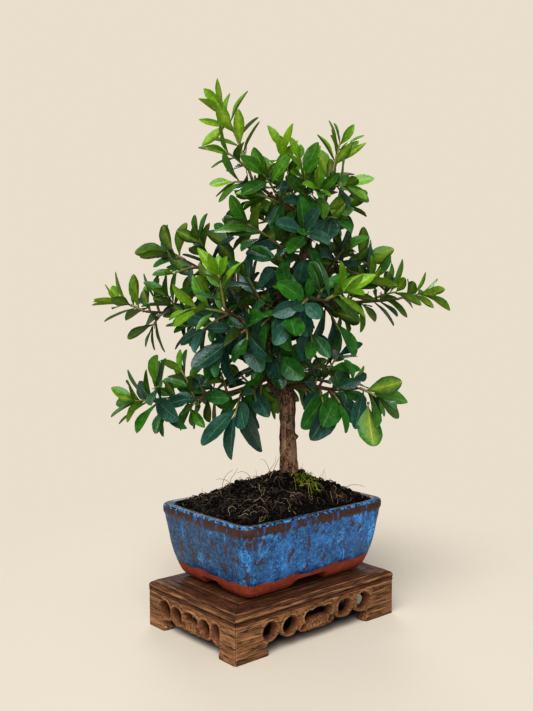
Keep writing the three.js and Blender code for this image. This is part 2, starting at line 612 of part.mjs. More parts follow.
function isClear(leaf, placed) {
  for (const { point, radius, limb } of woodPoints) {
    const from = limb === leaf.shoot ? 0.4 : 0.1;
    if (insideBlade(leaf, point, radius + LEAF.clearance, from)) return false;
  }
  const samples = bladeSamples(leaf, 0.08);
  leaf.samples = bladeSamples(leaf, LEAF.rooted);
  for (const other of placed) {
    const sibling = other.shoot === leaf.shoot;
    const reach = leaf.length + other.length;
    if (leaf.foot.distanceToSquared(other.foot) > reach * reach) continue;
    const from = sibling ? LEAF.rooted : 0;
    const clearance = sibling ? 0.2 : LEAF.clearance;
    const near = sibling ? leaf.samples : samples;
    if (near.some((p) => insideBlade(other, p, clearance, from))) return false;
    if (other.samples.some((p) => insideBlade(leaf, p, clearance, from))) return false;
  }
  return true;
}

const leaves = [];
for (const shoot of shoots) {
  for (let number = 0; number < shoot.leaves; number++) {
    for (let attempt = 0; attempt < LEAF.tries; attempt++) {
      const leaf = leafPose(shoot, number, attempt);
      if (!isClear(leaf, leaves)) continue;
      leaves.push(leaf);
      break;
    }
  }
}

// Blade of three-sided section: flat above between its edges, a keel below, closed at the tip
function leafSolid(leaf) {
  const stations = leaf.length > 31 ? [0.28, 0.6, 0.88] : [0.48, 0.86];
  const tip = bladePoint(leaf, 1, 0, 0);
  return loft([
    [leaf.foot, leaf.foot, leaf.foot],
    ...stations.map((along) => [
      bladePoint(leaf, along, -1, foldAt(leaf, along)),
      bladePoint(leaf, along, 1, foldAt(leaf, along)),
      bladePoint(leaf, along, 0, -LEAF.keel),
    ]),
    [tip, tip, tip],
  ]);
}

function sprayTwig(shoot) {
  const steps = Math.max(1, Math.round(shoot.curve.getLength() / TWIG.segment));
  return wood(shoot.curve, shoot.radii, TWIG.sides, steps);
}

const sprayNames = [...new Set(shoots.map((shoot) => shoot.node))];
for (const name of sprayNames) {
  const own = shoots.filter((shoot) => shoot.node === name);
  const pieces = [
    ...own.map(sprayTwig),
    ...leaves.filter((leaf) => leaf.shoot.node === name).map(leafSolid),
  ];
  const limb = limbs[own[0].on];
  const spray = mainBody(wasm.Manifold.union(pieces).subtract(limb.grown(GAP)));
  const youth = own[0].youth;
  node("spray_" + name, spray, youth > 0.45 ? LEAF_YOUNG : LEAF_MATURE, tree);
}

node("trunk", wasm.Manifold.union(Object.values(limbs).map((limb) => limb.grown(0))), BARK, tree);

export default part;
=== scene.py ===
"""A scarlet firethorn bonsai in a glazed pot on a carved wooden stand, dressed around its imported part.

Lengths are millimetres until a mesh is made. The tree's own axes are right, away and up as seen from its front.
"""

import math

import bpy
import numpy as np
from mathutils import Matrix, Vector


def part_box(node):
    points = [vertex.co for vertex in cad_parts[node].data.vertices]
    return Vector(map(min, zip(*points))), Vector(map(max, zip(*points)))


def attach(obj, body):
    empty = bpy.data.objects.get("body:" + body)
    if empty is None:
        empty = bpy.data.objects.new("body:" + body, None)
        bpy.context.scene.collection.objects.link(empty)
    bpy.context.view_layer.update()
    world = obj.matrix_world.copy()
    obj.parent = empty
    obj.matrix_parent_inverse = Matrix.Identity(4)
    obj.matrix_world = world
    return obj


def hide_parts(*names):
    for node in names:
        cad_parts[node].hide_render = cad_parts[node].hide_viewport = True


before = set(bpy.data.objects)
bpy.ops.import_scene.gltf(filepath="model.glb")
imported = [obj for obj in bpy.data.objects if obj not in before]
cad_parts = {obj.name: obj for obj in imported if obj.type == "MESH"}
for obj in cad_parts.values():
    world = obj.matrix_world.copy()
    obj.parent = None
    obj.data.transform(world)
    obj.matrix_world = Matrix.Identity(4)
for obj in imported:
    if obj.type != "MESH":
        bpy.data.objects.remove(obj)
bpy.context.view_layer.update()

# Where the pieces stand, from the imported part
MM = 0.001


def box_mm(node):
    """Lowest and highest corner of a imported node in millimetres."""
    low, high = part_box(node)
    return np.array(low) / MM, np.array(high) / MM


def foot_of(low, high):
    """Middle of a box's underside."""
    return np.array([(low[0] + high[0]) / 2, (low[1] + high[1]) / 2, low[2]])


POT_AT = foot_of(*box_mm("pot"))
STAND_AT = foot_of(np.minimum(box_mm("stand_rail_front")[0], box_mm("stand_rail_left")[0]),
                   np.maximum(box_mm("stand_rail_back")[1], box_mm("stand_rail_right")[1])) * [1, 1, 0]

# Sizes shared with the part's source
STAND = {"length": 165, "depth": 109, "height": 35.8}
SLAB = {"thickness": 8, "rail": 20, "gap": 0.3}
APRON = {"thickness": 9, "leg_long": 32, "leg_short": 20.5}
POT = {"length": 150, "depth": 110, "height": 59.2, "corner": 10, "bow": 0.012, "wall": 7, "floor": 13}
FOOT = {"lift": 8.5, "arch_long": 40, "arch_short": 27, "slope": 6.5}
SOIL = {"edge": 57.2, "peak": 83.2, "fall": 1.0}
TREE = {"at": (20, 4), "turn": -40.7}
MOSS = {"at": (6.5, -15.5), "radius": 8.5}
STEM = {"foot": 112, "knot": 145}
TWIG = {"radii": (1.2, 0.8), "arch": 0.1}
LEAF = {"keel": 0.6, "fold": 0.25, "golden_angle": 137.5, "rooted": 0.17, "clearance": 0.75, "tries": 16}

# Limbs: radii from one end to the other, and the points they pass
LIMBS = {
    "trunk": ([7.4, 7.8, 7.4, 6.6, 6.3, 6.2, 6.1, 5.8, 5.4, 5, 4.4, 3.8, 3.2, 2.6], [
        [0, 0, 80], [0, 0, 112], [-0.8, 0, 149], [-1, 0, 176], [-10, -2, 189], [-16, -3, 206], [-17, -2, 227],
        [-13, 0, 245], [-4, 3, 262], [7, 3, 281], [14, 1, 297], [19, 0, 313]]),
    "low_left": ([3, 1.3], [[-14, -2, 196], [-39, -14, 184], [-67, -26, 180], [-94, -38, 176]]),
    "low_right": ([2.8, 1.3], [[-5, -1, 183], [13, -12, 188], [34, -24, 186], [54, -33, 188]]),
    "low_back": ([2.8, 1.3], [[-13, 0, 194], [-4, 30, 188], [8, 62, 186]]),
    "long_left": ([2.6, 1.2], [[-17, -2, 231], [-44, 6, 241], [-73, 12, 243], [-118, 15, 246]]),
    "front_left": ([2.2, 1.2], [[-17, -2, 224], [-26, -18, 232], [-39, -38, 242], [-49, -54, 250]]),
    "front": ([2.2, 1.2], [[-13, 0, 244], [-1, -24, 253], [12, -48, 257], [25, -66, 256]]),
    "long_right": ([2.4, 1.2], [[-12, 0, 249], [17, 6, 252], [46, 8, 253], [88, 8, 256]]),
    "back_left": ([2.4, 1.2], [[-16, 0, 236], [-30, 32, 246], [-44, 68, 254]]),
    "back_right": ([2.4, 1.2], [[-9, 1, 254], [14, 34, 262], [40, 62, 268]]),
    "high_left": ([2.2, 1.2], [[-8, 2, 256], [-44, 14, 270], [-70, 22, 280], [-85, 28, 288]]),
    "mid_right": ([2, 1.2], [[8, 3, 283], [30, 9, 279], [51, 18, 285]]),
    "high_back": ([2, 1.2], [[12, 2, 292], [8, 26, 306], [2, 48, 320]]),
    "leader": ([2.4, 1.3], [[19, 0, 312], [5, -4, 325], [-11, -8, 335], [-29, -8, 350]]),
    "right_leader": ([2.2, 1.2], [[19, 0, 312], [25, -8, 325], [31, -12, 342], [34, -12, 355]]),
}

# Leafy shoots: name, what it grows on, how far along, its tip, number of leaves, leaf length, youth and lift
SHOOTS = [
    ("leader_tip", "leader", 1, [-55, -5, 412], 13, 26, 1, 0.3),
    ("leader_left", "leader", 0.9, [-44, -18, 347], 6, 26, 0.5, 0),
    ("leader_front", "leader", 0.55, [-20, -34, 351], 9, 28, 0.4, 0.2),
    ("crown_tuft", "leader", 0.3, [-7, -12, 380], 13, 24, 0.8, 0.5),
    ("crown_front", "leader", 0.12, [11, -34, 353], 10, 27, 0.3, 0.2),
    ("crown_back", "leader", 0.4, [-12, 24, 362], 10, 26, 0.2, 0.3),
    ("crown_left", "leader", 0.18, [-32, 8, 337], 8, 26, 0.2, 0),
    ("right_tip", "right_leader", 1, [40, -12, 379], 11, 23, 0.9, 0.45),
    ("right_out", "right_leader", 0.75, [44, -21, 344], 9, 27, 0.4, 0.1),
    ("right_side", "right_leader", 0.35, [47, 6, 330], 9, 28, 0.3, 0.1),
    ("right_front", "right_leader", 0.5, [20, -42, 340], 9, 26, 0.6, 0.2),
    ("right_back", "right_leader", 0.6, [34, 26, 356], 9, 25, 0.3, 0.3),
    ("breast_left", "trunk", 0.875, [-34, -22, 315], 9, 32, 0.3, 0.1),
    ("breast_front", "trunk", 0.93, [10, -44, 309], 9, 29, 0.1, 0),
    ("high_left_tip", "high_left", 1, [-102, 30, 296], 11, 28, 0.3, 0.3),
    ("high_left_mid", "high_left", 0.65, [-73, 4, 306], 9, 28, 0.2, 0.3),
    ("high_left_up", "high_left", 0.4, [-52, 24, 311], 9, 27, 0.1, 0.2),
    ("high_left_low", "high_left", 0.8, [-82, 50, 272], 6, 24, 0.1, 0),
    ("long_left_tip", "long_left", 1, [-140, 16, 254], 11, 26, 0.8, 0.3),
    ("long_left_up", "long_left", 0.72, [-98, 0, 259], 7, 25, 0.4, 0.2),
    ("long_left_low", "long_left", 0.5, [-80, -8, 230], 8, 24, 0.1, -0.2),
    ("long_left_back", "long_left", 0.55, [-88, 44, 246], 6, 25, 0.1, 0),
    ("bright_left", "front_left", 1, [-53, -62, 275], 11, 26, 0.9, 0.4),
    ("bright_outer", "front_left", 0.75, [-74, -54, 250], 9, 26, 0.9, 0.1),
    ("front_left_hang", "front_left", 0.5, [-32, -56, 226], 8, 28, 0, -0.8),
    ("front_tip", "front", 1, [39, -73, 262], 10, 27, 0.8, 0.1),
    ("front_hang", "front", 0.6, [-2, -62, 240], 9, 29, 0, -0.8),
    ("front_low", "trunk", 0.55, [-10, -34, 212], 8, 30, 0, -0.7),
    ("long_right_tip", "long_right", 1, [112, 8, 260], 11, 25, 0.6, 0.2),
    ("long_right_up", "long_right", 0.6, [66, -12, 273], 9, 28, 0.4, 0.3),
    ("long_right_hang", "long_right", 0.4, [40, -18, 231], 8, 29, 0.1, -0.7),
    ("mid_right_tip", "mid_right", 1, [64, 22, 288], 10, 27, 0.4, 0),
    ("mid_right_front", "mid_right", 0.55, [44, -16, 296], 9, 27, 0.2, 0.1),
    ("low_left_tip", "low_left", 1, [-118, -48, 180], 12, 31, 0.4, 0.1),
    ("low_left_up", "low_left", 0.75, [-84, -30, 202], 9, 27, 0.5, 0.2),
    ("low_left_front", "low_left", 0.3, [-42, -44, 167], 8, 36, 0, -0.8),
    ("low_left_back", "low_left", 0.55, [-62, 10, 184], 8, 27, 0.1, -0.1),
    ("low_right_tip", "low_right", 1, [69, -38, 180], 10, 30, 0.4, -0.5),
    ("low_right_hang", "low_right", 0.6, [38, -46, 178], 7, 36, 0, -0.9),
    ("low_right_up", "low_right", 0.5, [40, -8, 212], 8, 28, 0.2, 0.1),
    ("low_back_tip", "low_back", 1, [14, 92, 190], 9, 27, 0.3, 0),
    ("low_back_side", "low_back", 0.6, [40, 52, 198], 8, 27, 0.1, 0),
    ("back_left_tip", "back_left", 1, [-54, 92, 264], 10, 26, 0.4, 0.1),
    ("back_right_tip", "back_right", 1, [58, 84, 278], 10, 26, 0.4, 0.2),
    ("high_back_tip", "high_back", 1, [-4, 68, 332], 10, 25, 0.5, 0.3),
    ("low_back_left", "low_back_tip", 0.2, [-26, 78, 196], 6, 27, 0.1, 0),
    ("back_left_side", "back_left_tip", 0.15, [-20, 96, 246], 6, 26, 0.2, 0),
    ("back_right_side", "back_right_tip", 0.15, [30, 92, 258], 6, 26, 0.2, -0.1),
    ("high_back_side", "high_back_tip", 0.2, [34, 62, 322], 8, 25, 0.3, 0.2),
    ("high_back_left", "high_back_tip", 0.25, [-40, 62, 316], 8, 25, 0.2, 0.1),
    ("hang_outer", "front_left_hang", 0.4, [-56, -48, 214], 7, 32, 0, -0.8),
    ("low_left_out", "low_left_tip", 0.4, [-100, -56, 192], 6, 32, 0.3, 0.1),
    ("low_left_under", "low_left_tip", 0.1, [-94, -50, 174], 5, 27, 0.1, -0.5),
]

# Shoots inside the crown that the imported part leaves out, in the same form
INNER_SHOOTS = [
    ("leader_under", "leader_tip", 0.12, [-50, -14, 371], 6, 27, 0.6, 0.1),
    ("long_left_row", "long_left", 0.88, [-110, 12, 259], 5, 29, 0.4, 0.9),
    ("long_right_row", "long_right", 0.78, [86, -6, 262], 6, 28, 0.4, 0.3),
    ("heart_left", "trunk", 0.66, [-34, -28, 276], 8, 28, 0.1, 0),
    ("heart_right", "trunk", 0.74, [20, -30, 266], 8, 27, 0.1, 0),
    ("hang_middle", "front_left", 0.35, [-46, -46, 233], 7, 28, 0, -0.5),
    ("hang_right", "long_right", 0.25, [17, -40, 224], 8, 29, 0, -0.8),
    ("hang_centre", "front", 0.35, [-22, -44, 236], 7, 28, 0, -0.8),
    ("stem_left", "low_left", 0.2, [-26, -22, 176], 6, 34, 0, -0.9),
    ("stem_right", "low_right", 0.5, [26, -36, 176], 5, 35, 0, -0.9),
    ("far_right_hang", "low_right", 0.95, [60, -44, 178], 4, 38, 0, -1),
    ("breast_right", "right_leader", 0.15, [36, -34, 318], 8, 27, 0.2, -0.1),
    ("breast_low", "trunk", 0.84, [-14, -38, 288], 8, 29, 0.1, -0.3),
    ("left_between", "high_left", 0.5, [-62, -4, 258], 8, 27, 0.2, -0.1),
    ("left_above", "long_left", 0.42, [-62, -12, 262], 8, 27, 0.3, 0.2),
    ("left_below", "long_left", 0.3, [-50, -18, 222], 8, 28, 0, -0.6),
    ("left_front", "front_left", 0.85, [-68, -34, 232], 8, 28, 0.1, -0.4),
    ("left_outer", "high_left", 0.85, [-94, 6, 276], 7, 26, 0.3, 0.1),
    ("low_left_mid", "low_left", 0.65, [-74, -44, 176], 6, 26, 0.2, -0.2),
    ("low_left_top", "low_left", 0.45, [-56, -26, 206], 8, 27, 0.3, 0.2),
    ("right_above", "mid_right", 0.7, [66, -2, 272], 7, 27, 0.3, 0),
    ("top_left", "leader", 0.25, [-24, -28, 336], 8, 27, 0.4, 0.1),
    ("top_middle", "leader", 0.1, [8, -30, 364], 8, 25, 0.5, 0.2),
]

# Single leaves that stand out in the outline: shoot, tip, half width, youth, and 1 where the upper side is in view
# or -1 where the underside is
OUTSTANDING = [
    ("leader_tip", (-41, -14, 403), 5.6, 0.7, -1),
    ("leader_tip", (-72, -6, 401), 3.0, 0.7, 1),
    ("leader_tip", (-68, -12, 375), 4.6, 0.75, -1),
    ("right_tip", (59, -18, 378), 3.2, 0.85, -1),
    ("far_right_hang", (60, -50, 146), 9.2, 0.05, -1),
    ("long_left_tip", (-156, 8, 259), 3.8, 0.8, -1),
]
SINGLE = {"length": 30, "longest": 36, "stalk": 2.5, "tries": 45, "start_index": 402}
STEM_VIEW = {"left": -13, "right": 9, "top": 186, "back": 4}  # no inner leaf hangs here in front of the stem
SPUR = {"first": 10, "spacing": 10, "end_gap": 4, "trunk_from": 0.46, "least": 8, "extra": 9, "leaves": 6,
        "size": (20, 27), "near": 60, "hangs_below": 240, "start_index": 100}
YOUNGER = {"from": 290, "over": 80}  # heights over which leaves are lighter towards the top


def rows_norm(vectors):
    """Each vector divided by its length."""
    return vectors / np.maximum(np.linalg.norm(vectors, axis=-1, keepdims=True), 1e-9)


def bell(value, middle, width):
    """1 at the middle, falling off on both sides as the exponential of minus the square of the distance in widths."""
    return np.exp(-(((value - middle) / width) ** 2))


def value_noise(points, size, seed=0):
    """Smooth random value from -1 to 1: random values at the corners of cubes of this size, blended between them."""
    place = np.asarray(points, float) / size + 4096.0
    cell = np.floor(place).astype(np.int64)
    part = place - cell
    part = part * part * (3 - 2 * part)
    total = np.zeros(place.shape[:-1])
    for corner in np.ndindex(2, 2, 2):
        at = cell + np.array(corner)
        code = (at[..., 0] * 73856093) ^ (at[..., 1] * 19349663) ^ (at[..., 2] * 83492791) ^ (seed * 2654435)
        code = ((code & 0xFFFFFFFF) * 1274126177) & 0xFFFFFFFF
        code = ((code ^ (code >> 15)) * 2246822519) & 0xFFFFFFFF
        value = ((code ^ (code >> 13)) & 0xFFFF) / 32767.5 - 1
        total += value * np.prod(np.where(corner, part, 1 - part), axis=-1)
    return total


def layered_noise(points, size, layers=3, seed=0):
    """Sum of value noises, each half the size and half the strength of the one before."""
    return sum(value_noise(points, size / 2**k, seed + k) / 2**k for k in range(layers))


def grid_quads(rows, columns, closed):
    """Corner numbers of the quads between grid points numbered row by row, wrapping round if closed."""
    r = np.arange(rows - 1)[:, None]
    c = np.arange(columns if closed else columns - 1)[None, :]
    nxt = (c + 1) % columns
    corners = [r * columns + c, r * columns + nxt, (r + 1) * columns + nxt, (r + 1) * columns + c]
    return np.stack(np.broadcast_arrays(*corners), -1).reshape(-1, 4)


def fan(ring, flip=False):
    """Triangles from the first corner of a ring to the others."""
    ring = np.asarray(ring)
    a, b = ring[1:-1], ring[2:]
    first = np.full(len(a), ring[0])
    return np.stack([first, b, a] if flip else [first, a, b], -1)


def closed_loft(rings):
    """Points and faces of the skin over rings (rings, points, 3), with a fan over the first and last ring."""
    count, columns = rings.shape[:2]
    last = (count - 1) * columns
    tris = np.concatenate([fan(np.arange(columns), flip=True), fan(last + np.arange(columns))])
    return rings.reshape(-1, 3), grid_quads(count, columns, True), tris


def along_path(path, radii, sides, twist=0.0):
    """Rings round a path: each ring's points are the path's point plus radius times the cosine and sine of the
    angle round it, across the path's direction."""
    path = np.asarray(path, float)
    tangent = rows_norm(np.gradient(path, axis=0))
    least = np.eye(3)[np.argmin(np.abs(tangent).mean(0))]
    side = rows_norm(np.cross(tangent, least))
    other = np.cross(tangent, side)
    angle = 2 * math.pi * np.arange(sides) / sides + twist
    ring = side[:, None] * np.cos(angle)[None, :, None] + other[:, None] * np.sin(angle)[None, :, None]
    return path[:, None] + np.asarray(radii, float)[:, None, None] * ring


class Skin:
    """Points, faces and per-point values gathered for one mesh."""

    def __init__(self):
        self.parts, self.count = [], 0

    def add(self, points, quads=(), tris=(), paint=0, values=None, sharp=False):
        """Adds points with their faces, a material number, and named values (one for each point)."""
        points = np.asarray(points, float).reshape(-1, 3)
        quads, tris = (np.asarray(faces, int).reshape(-1, n) + self.count for faces, n in ((quads, 4), (tris, 3)))
        values = {key: np.broadcast_to(value, len(points)) for key, value in (values or {}).items()}
        self.parts.append((points, quads, tris, np.full(len(quads), paint), np.full(len(tris), paint), values,
                           np.broadcast_to(sharp, len(points))))
        self.count += len(points)

    def loft(self, rings, **settings):
        """Adds the closed skin over rings."""
        points, quads, tris = closed_loft(rings)
        self.add(points, quads, tris, **settings)

    def piece(self, name, paints, slot, nodes=(), smooth=True):
        """Makes the object, which rides on the one body and stands for the named nodes."""
        points, quads, tris, quad_paint, tri_paint, values, sharp = zip(*self.parts)
        corners = np.concatenate([faces.ravel() for faces in quads + tris]).astype(np.int32)
        sides = np.concatenate([np.full(len(faces), faces.shape[1]) for faces in quads + tris])
        starts = (np.cumsum(sides) - sides).astype(np.int32)
        mesh = bpy.data.meshes.new(name)
        for things, count, layers in (
                (mesh.vertices, self.count, {"co": np.concatenate(points).ravel() * MM}),
                (mesh.loops, len(corners), {"vertex_index": corners}),
                (mesh.polygons, len(starts), {
                    "loop_start": starts, "use_smooth": np.full(len(starts), smooth),
                    "material_index": np.concatenate(quad_paint + tri_paint).astype(np.int32)})):
            things.add(count)
            for key, layer in layers.items():
                things.foreach_set(key, layer)
        mesh.update(calc_edges=True)
        sharp = np.concatenate(sharp)
        if sharp.any():
            ends = np.zeros(2 * len(mesh.edges), np.int32)
            mesh.edges.foreach_get("vertices", ends)
            crease = mesh.attributes.new("sharp_edge", "BOOLEAN", "EDGE")
            crease.data.foreach_set("value", sharp[ends.reshape(-1, 2)].all(1))
        for key in sorted({key for part in values for key in part}):
            layer = [part.get(key, np.zeros(len(p))) for part, p in zip(values, points)]
            data = mesh.attributes.new(key, "FLOAT", "POINT").data
            data.foreach_set("value", np.concatenate(layer).astype(np.float32))
        for paint in paints:
            mesh.materials.append(paint)
        thing = bpy.data.objects.new(name, mesh)
        bpy.context.scene.collection.objects.link(thing)
        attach(thing, "root")
        if nodes:
            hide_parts(*nodes)
        return thing


# Materials
def srgb(code):
    """Linear colour of a six-digit code."""
    parts = [int(code[i:i + 2], 16) / 255 for i in (0, 2, 4)]
    linear = [p / 12.92 if p <= 0.04045 else ((p + 0.055) / 1.055) ** 2.4 for p in parts]
    return (*linear, 1.0)


class Nodes:
    """Short names for the nodes of one material, group or world. Sizes are millimetres, and a colour may be a
    six-digit code."""

    def __init__(self, tree):
        self.tree = tree

    def add(self, kind, inputs=(), **settings):
        node = self.tree.nodes.new(kind)
        for key, value in settings.items():
            setattr(node, key, value)
        for key, value in dict(inputs).items():
            self.feed(node.inputs[key], value)
        return node

    def feed(self, socket, value):
        if isinstance(value, bpy.types.NodeSocket):
            self.tree.links.new(value, socket)
        else:
            socket.default_value = srgb(value) if isinstance(value, str) else value

    def maths(self, operation, a, b=0.0):
        return self.add("ShaderNodeMath", {0: a, 1: b, 2: 0.0}, operation=operation).outputs[0]

    def plus(self, a, b):
        return self.maths("ADD", a, b)

    def less(self, a, b):
        return self.maths("SUBTRACT", a, b)

    def times(self, a, b):
        return self.maths("MULTIPLY", a, b)

    def step(self, value, low, high, start=0.0, end=1.0):
        inputs = {"Value": value, "From Min": low, "From Max": high, "To Min": start, "To Max": end}
        return self.add("ShaderNodeMapRange", inputs, interpolation_type="SMOOTHSTEP").outputs[0]

    def fall(self, value, low, high):
        return self.step(value, low, high, 1.0, 0.0)

    def mix(self, share, a, b):
        return self.add("ShaderNodeMix", {0: share, 6: a, 7: b}, data_type="RGBA").outputs[2]

    def tint(self, colour, other, mask, strength):
        """The colour with another laid over it where the mask is, at a strength."""
        return self.mix(self.times(mask, strength), colour, other)


class Material(Nodes):
    """A material with patterns in the object's own place, and its shader, whose sockets are set by name."""

    def __init__(self, name, **sockets):
        self.made = bpy.data.materials.new(name)
        self.made.use_nodes = True
        super().__init__(self.made.node_tree)
        self.shader = next(node for node in self.tree.nodes if node.type == "BSDF_PRINCIPLED")
        self.at = self.add("ShaderNodeTexCoord").outputs["Object"]
        self.set(**sockets)

    def set(self, **sockets):
        for key, value in sockets.items():
            self.feed(self.shader.inputs[key.replace("_", " ")], value)
        return self.made

    def value(self, name):
        return self.add("ShaderNodeAttribute", attribute_name=name).outputs["Fac"]

    def axes(self):
        return self.add("ShaderNodeSeparateXYZ", {0: self.at}).outputs

    def stretch(self, *scale):
        return self.add("ShaderNodeMapping", {"Vector": self.at, "Scale": scale}).outputs[0]

    def noise(self, size, detail=3.0, rough=0.5, bend=0.0, at=None):
        inputs = {"Vector": at or self.at, "Scale": 1000 / size, "Detail": detail, "Roughness": rough,
                  "Distortion": bend}
        return self.add("ShaderNodeTexNoise", inputs).outputs[0]

    def patches(self, size, low, high, *noise, **settings):
        """A mask: noise that passes from 0 to 1 between two values."""
        return self.step(self.noise(size, *noise, **settings), low, high)

    def cells(self, size):
        return self.add("ShaderNodeTexVoronoi", {"Vector": self.at, "Scale": 1000 / size}).outputs["Distance"]

    def spread(self, group, size, a, b):
        """A group's mask: flecks by their reach and share, or clouds between two values."""
        return self.add("ShaderNodeGroup", {0: self.at, 1: 1000 / size, 2: a, 3: b}, node_tree=group).outputs[0]

    def bump(self, value, strength, distance_mm, under=None):
        inputs = {"Height": value, "Strength": strength, "Distance": distance_mm * MM}
        if under is not None:
            inputs["Normal"] = under
        return self.add("ShaderNodeBump", inputs).outputs[0]


def mask_group(name, first, second, draw):
    """A group whose mask is drawn from its place, its scale and two more numbers."""
    group = bpy.data.node_groups.new(name, "ShaderNodeTree")
    for socket in ("Place", "Scale", first, second):
        kind = "NodeSocketVector" if socket == "Place" else "NodeSocketFloat"
        group.interface.new_socket(socket, in_out="INPUT", socket_type=kind)
    group.interface.new_socket("Mask", in_out="OUTPUT", socket_type="NodeSocketFloat")
    n = Nodes(group)
    given = n.add("NodeGroupInput").outputs
    n.add("NodeGroupOutput", {"Mask": draw(n, {"Vector": given[0], "Scale": given[1]}, given[2], given[3])})
    return group


def draw_flecks(n, place, reach, share):
    """Small round flecks scattered over a surface: the middles of cells, of which a share is chosen at random."""
    cell = n.add("ShaderNodeTexVoronoi", place).outputs
    near = n.step(n.less(reach, cell["Distance"]), 0.0, 0.06)
    chosen = n.maths("LESS_THAN", n.add("ShaderNodeSeparateColor", {0: cell["Color"]}).outputs[0], share)
    return n.times(near, chosen)


def draw_clouds(n, place, low, high):
    """Soft clouds of many sizes: a noise that passes from 0 to 1 between two values."""
    return n.step(n.add("ShaderNodeTexNoise", {**place, "Detail": 5.0, "Roughness": 0.6}).outputs[0], low, high)


FLECKS = mask_group("Flecks", "Reach", "Share", draw_flecks)
CLOUDS = mask_group("Clouds", "Low", "High", draw_clouds)


def leaf_material():
    """Glossy dark green above with a thin pale midrib and faint veins, olive and duller below, yellow-green when
    young; each leaf has its own tone between blue-green and mid green."""
    n = Material("Firethorn leaf", Specular_IOR_Level=0.34, Specular_Tint=(0.8, 0.95, 0.97, 1.0))
    along, under, young, tone = (n.value(key) for key in ("along", "under", "young", "tone"))
    side = n.maths("ABSOLUTE", n.value("across"))
    greener = n.step(n.value("sheen"), 0.5, 0.62)
    dark = n.mix(greener, n.mix(tone, "10291f", "284f42"), n.mix(tone, "143f0f", "2f6a1b"))
    dark = n.tint(dark, n.mix(greener, "386255", "3b7422"), n.spread(CLOUDS, 9, 0.35, 0.65), 0.3)
    above = n.mix(n.step(young, 0.2, 0.45), dark, n.mix(tone, "35640e", "527e1a"))
    above = n.mix(n.step(young, 0.5, 0.85), above, n.mix(tone, "55800a", "769b12"))
    below = n.mix(young, n.mix(tone, "5c771f", "80962f"), "8cab26")
    vein_run = n.less(n.times(along, 10.0), n.times(side, 2.0))
    vein = n.fall(n.maths("ABSOLUTE", n.maths("SINE", n.times(vein_run, math.pi))), 0.0, 0.14)
    vein = n.times(vein, n.fall(side, 0.1, 0.9))
    rib = n.fall(side, 0.01, 0.06)
    above = n.tint(above, n.mix(young, "4a7a5c", "a5c653"), vein, 0.22)
    above = n.tint(above, n.mix(young, "78a06a", "b4d25c"), rib, 0.4)
    above = n.tint(above, "5f8a4c", n.step(side, 0.92, 1.0), 0.3)
    below = n.tint(below, "b3a04a", rib, 0.8)
    below = n.tint(below, "7f9447", vein, 0.25)
    colour = n.tint(n.mix(under, above, below), "3f2c1a", n.spread(FLECKS, 3.4, 0.12, 0.1), 0.6)
    dust = n.times(n.spread(FLECKS, 1.7, 0.12, 0.25), n.less(1.0, young))
    colour = n.tint(colour, "a9bfae", n.times(dust, n.less(1.0, under)), 0.5)
    pressed = n.patches(5.0, 0.4, 0.62, 5.0, 0.65)
    colour = n.tint(colour, "0a2208", n.less(1.0, pressed), 0.32)
    colour = n.tint(colour, "142a0a", n.fall(along, 0.0, 0.35), 0.35)
    dullness = n.mix(under, (0.29, 0.29, 0.29, 1), (0.7, 0.7, 0.7, 1))
    relief = n.plus(n.times(vein, -0.5), n.noise(3.4, 4.0, 0.6))
    return n.set(Base_Color=colour, Roughness=n.plus(dullness, n.times(n.less(pressed, 0.5), 0.2)),
                 Normal=n.bump(relief, 0.5, 0.8))


def twig_material():
    """Olive young wood, browner towards its foot, with small pale pores."""
    n = Material("Firethorn twig", Roughness=0.6)
    green, brown = n.mix(n.noise(3), "66702c", "857c3c"), n.mix(n.noise(2), "3f2c1c", "66492f")
    colour = n.tint(n.mix(n.value("age"), green, brown), "b09a78", n.spread(FLECKS, 1.6, 0.2, 0.4), 0.5)
    return n.set(Base_Color=colour, Normal=n.bump(n.noise(0.8), 0.6, 0.2))


def bark_material():
    """Brown bark in long fibrous strips: noise stretched along the wood's length, dark in the furrows, grey on top."""
    n = Material("Firethorn bark", Roughness=0.85, Specular_IOR_Level=0.15)
    strips = n.noise(1.3, 5.0, 0.65, 0.4, n.stretch(1, 1, 0.16))
    fine = n.noise(0.5, 4.0, 0.6, at=n.stretch(1, 1, 0.3))
    colour = n.mix(n.step(strips, 0.42, 0.58), "291710", "76533e")
    colour = n.mix(n.step(n.value("furrow"), -0.5, 0.5), n.mix(0.8, colour, "1a0e08"), colour)
    colour = n.tint(colour, "94775f", n.spread(CLOUDS, 11, 0.5, 0.6), 0.45)
    colour = n.tint(colour, "b09478", n.step(fine, 0.52, 0.64), 0.6)
    colour = n.tint(colour, "5e3220", n.spread(CLOUDS, 19, 0.57, 0.68), 0.45)
    colour = n.mix(n.value("age"), n.mix(fine, "2c2015", "5f4a30"), colour)
    return n.set(Base_Color=colour, Normal=n.bump(fine, 0.6, 0.3, n.bump(strips, 0.9, 0.8)))


def soil_material():
    """Black damp compost: black and dark brown clouds with a little pale grit and some shine on wet crumbs."""
    n = Material("Bark compost", Specular_IOR_Level=0.08)
    colour = n.mix(n.spread(CLOUDS, 6, 0.42, 0.62), "030302", "120e0b")
    colour = n.tint(colour, "2c231b", n.patches(1.2, 0.6, 0.72, 4.0, 0.7), 0.5)
    colour = n.tint(colour, "9a9184", n.spread(FLECKS, 3.0, 0.09, 0.14), 0.8)
    colour = n.mix(n.step(n.value("kind"), 0.4, 0.6), colour, n.mix(n.noise(2.5), "1d130d", "3c2a1d"))
    return n.set(Base_Color=colour, Roughness=n.step(n.noise(2.0), 0.4, 0.65, 0.35, 0.95),
                 Normal=n.bump(n.noise(1.0, 5.0, 0.7), 0.9, 0.8))


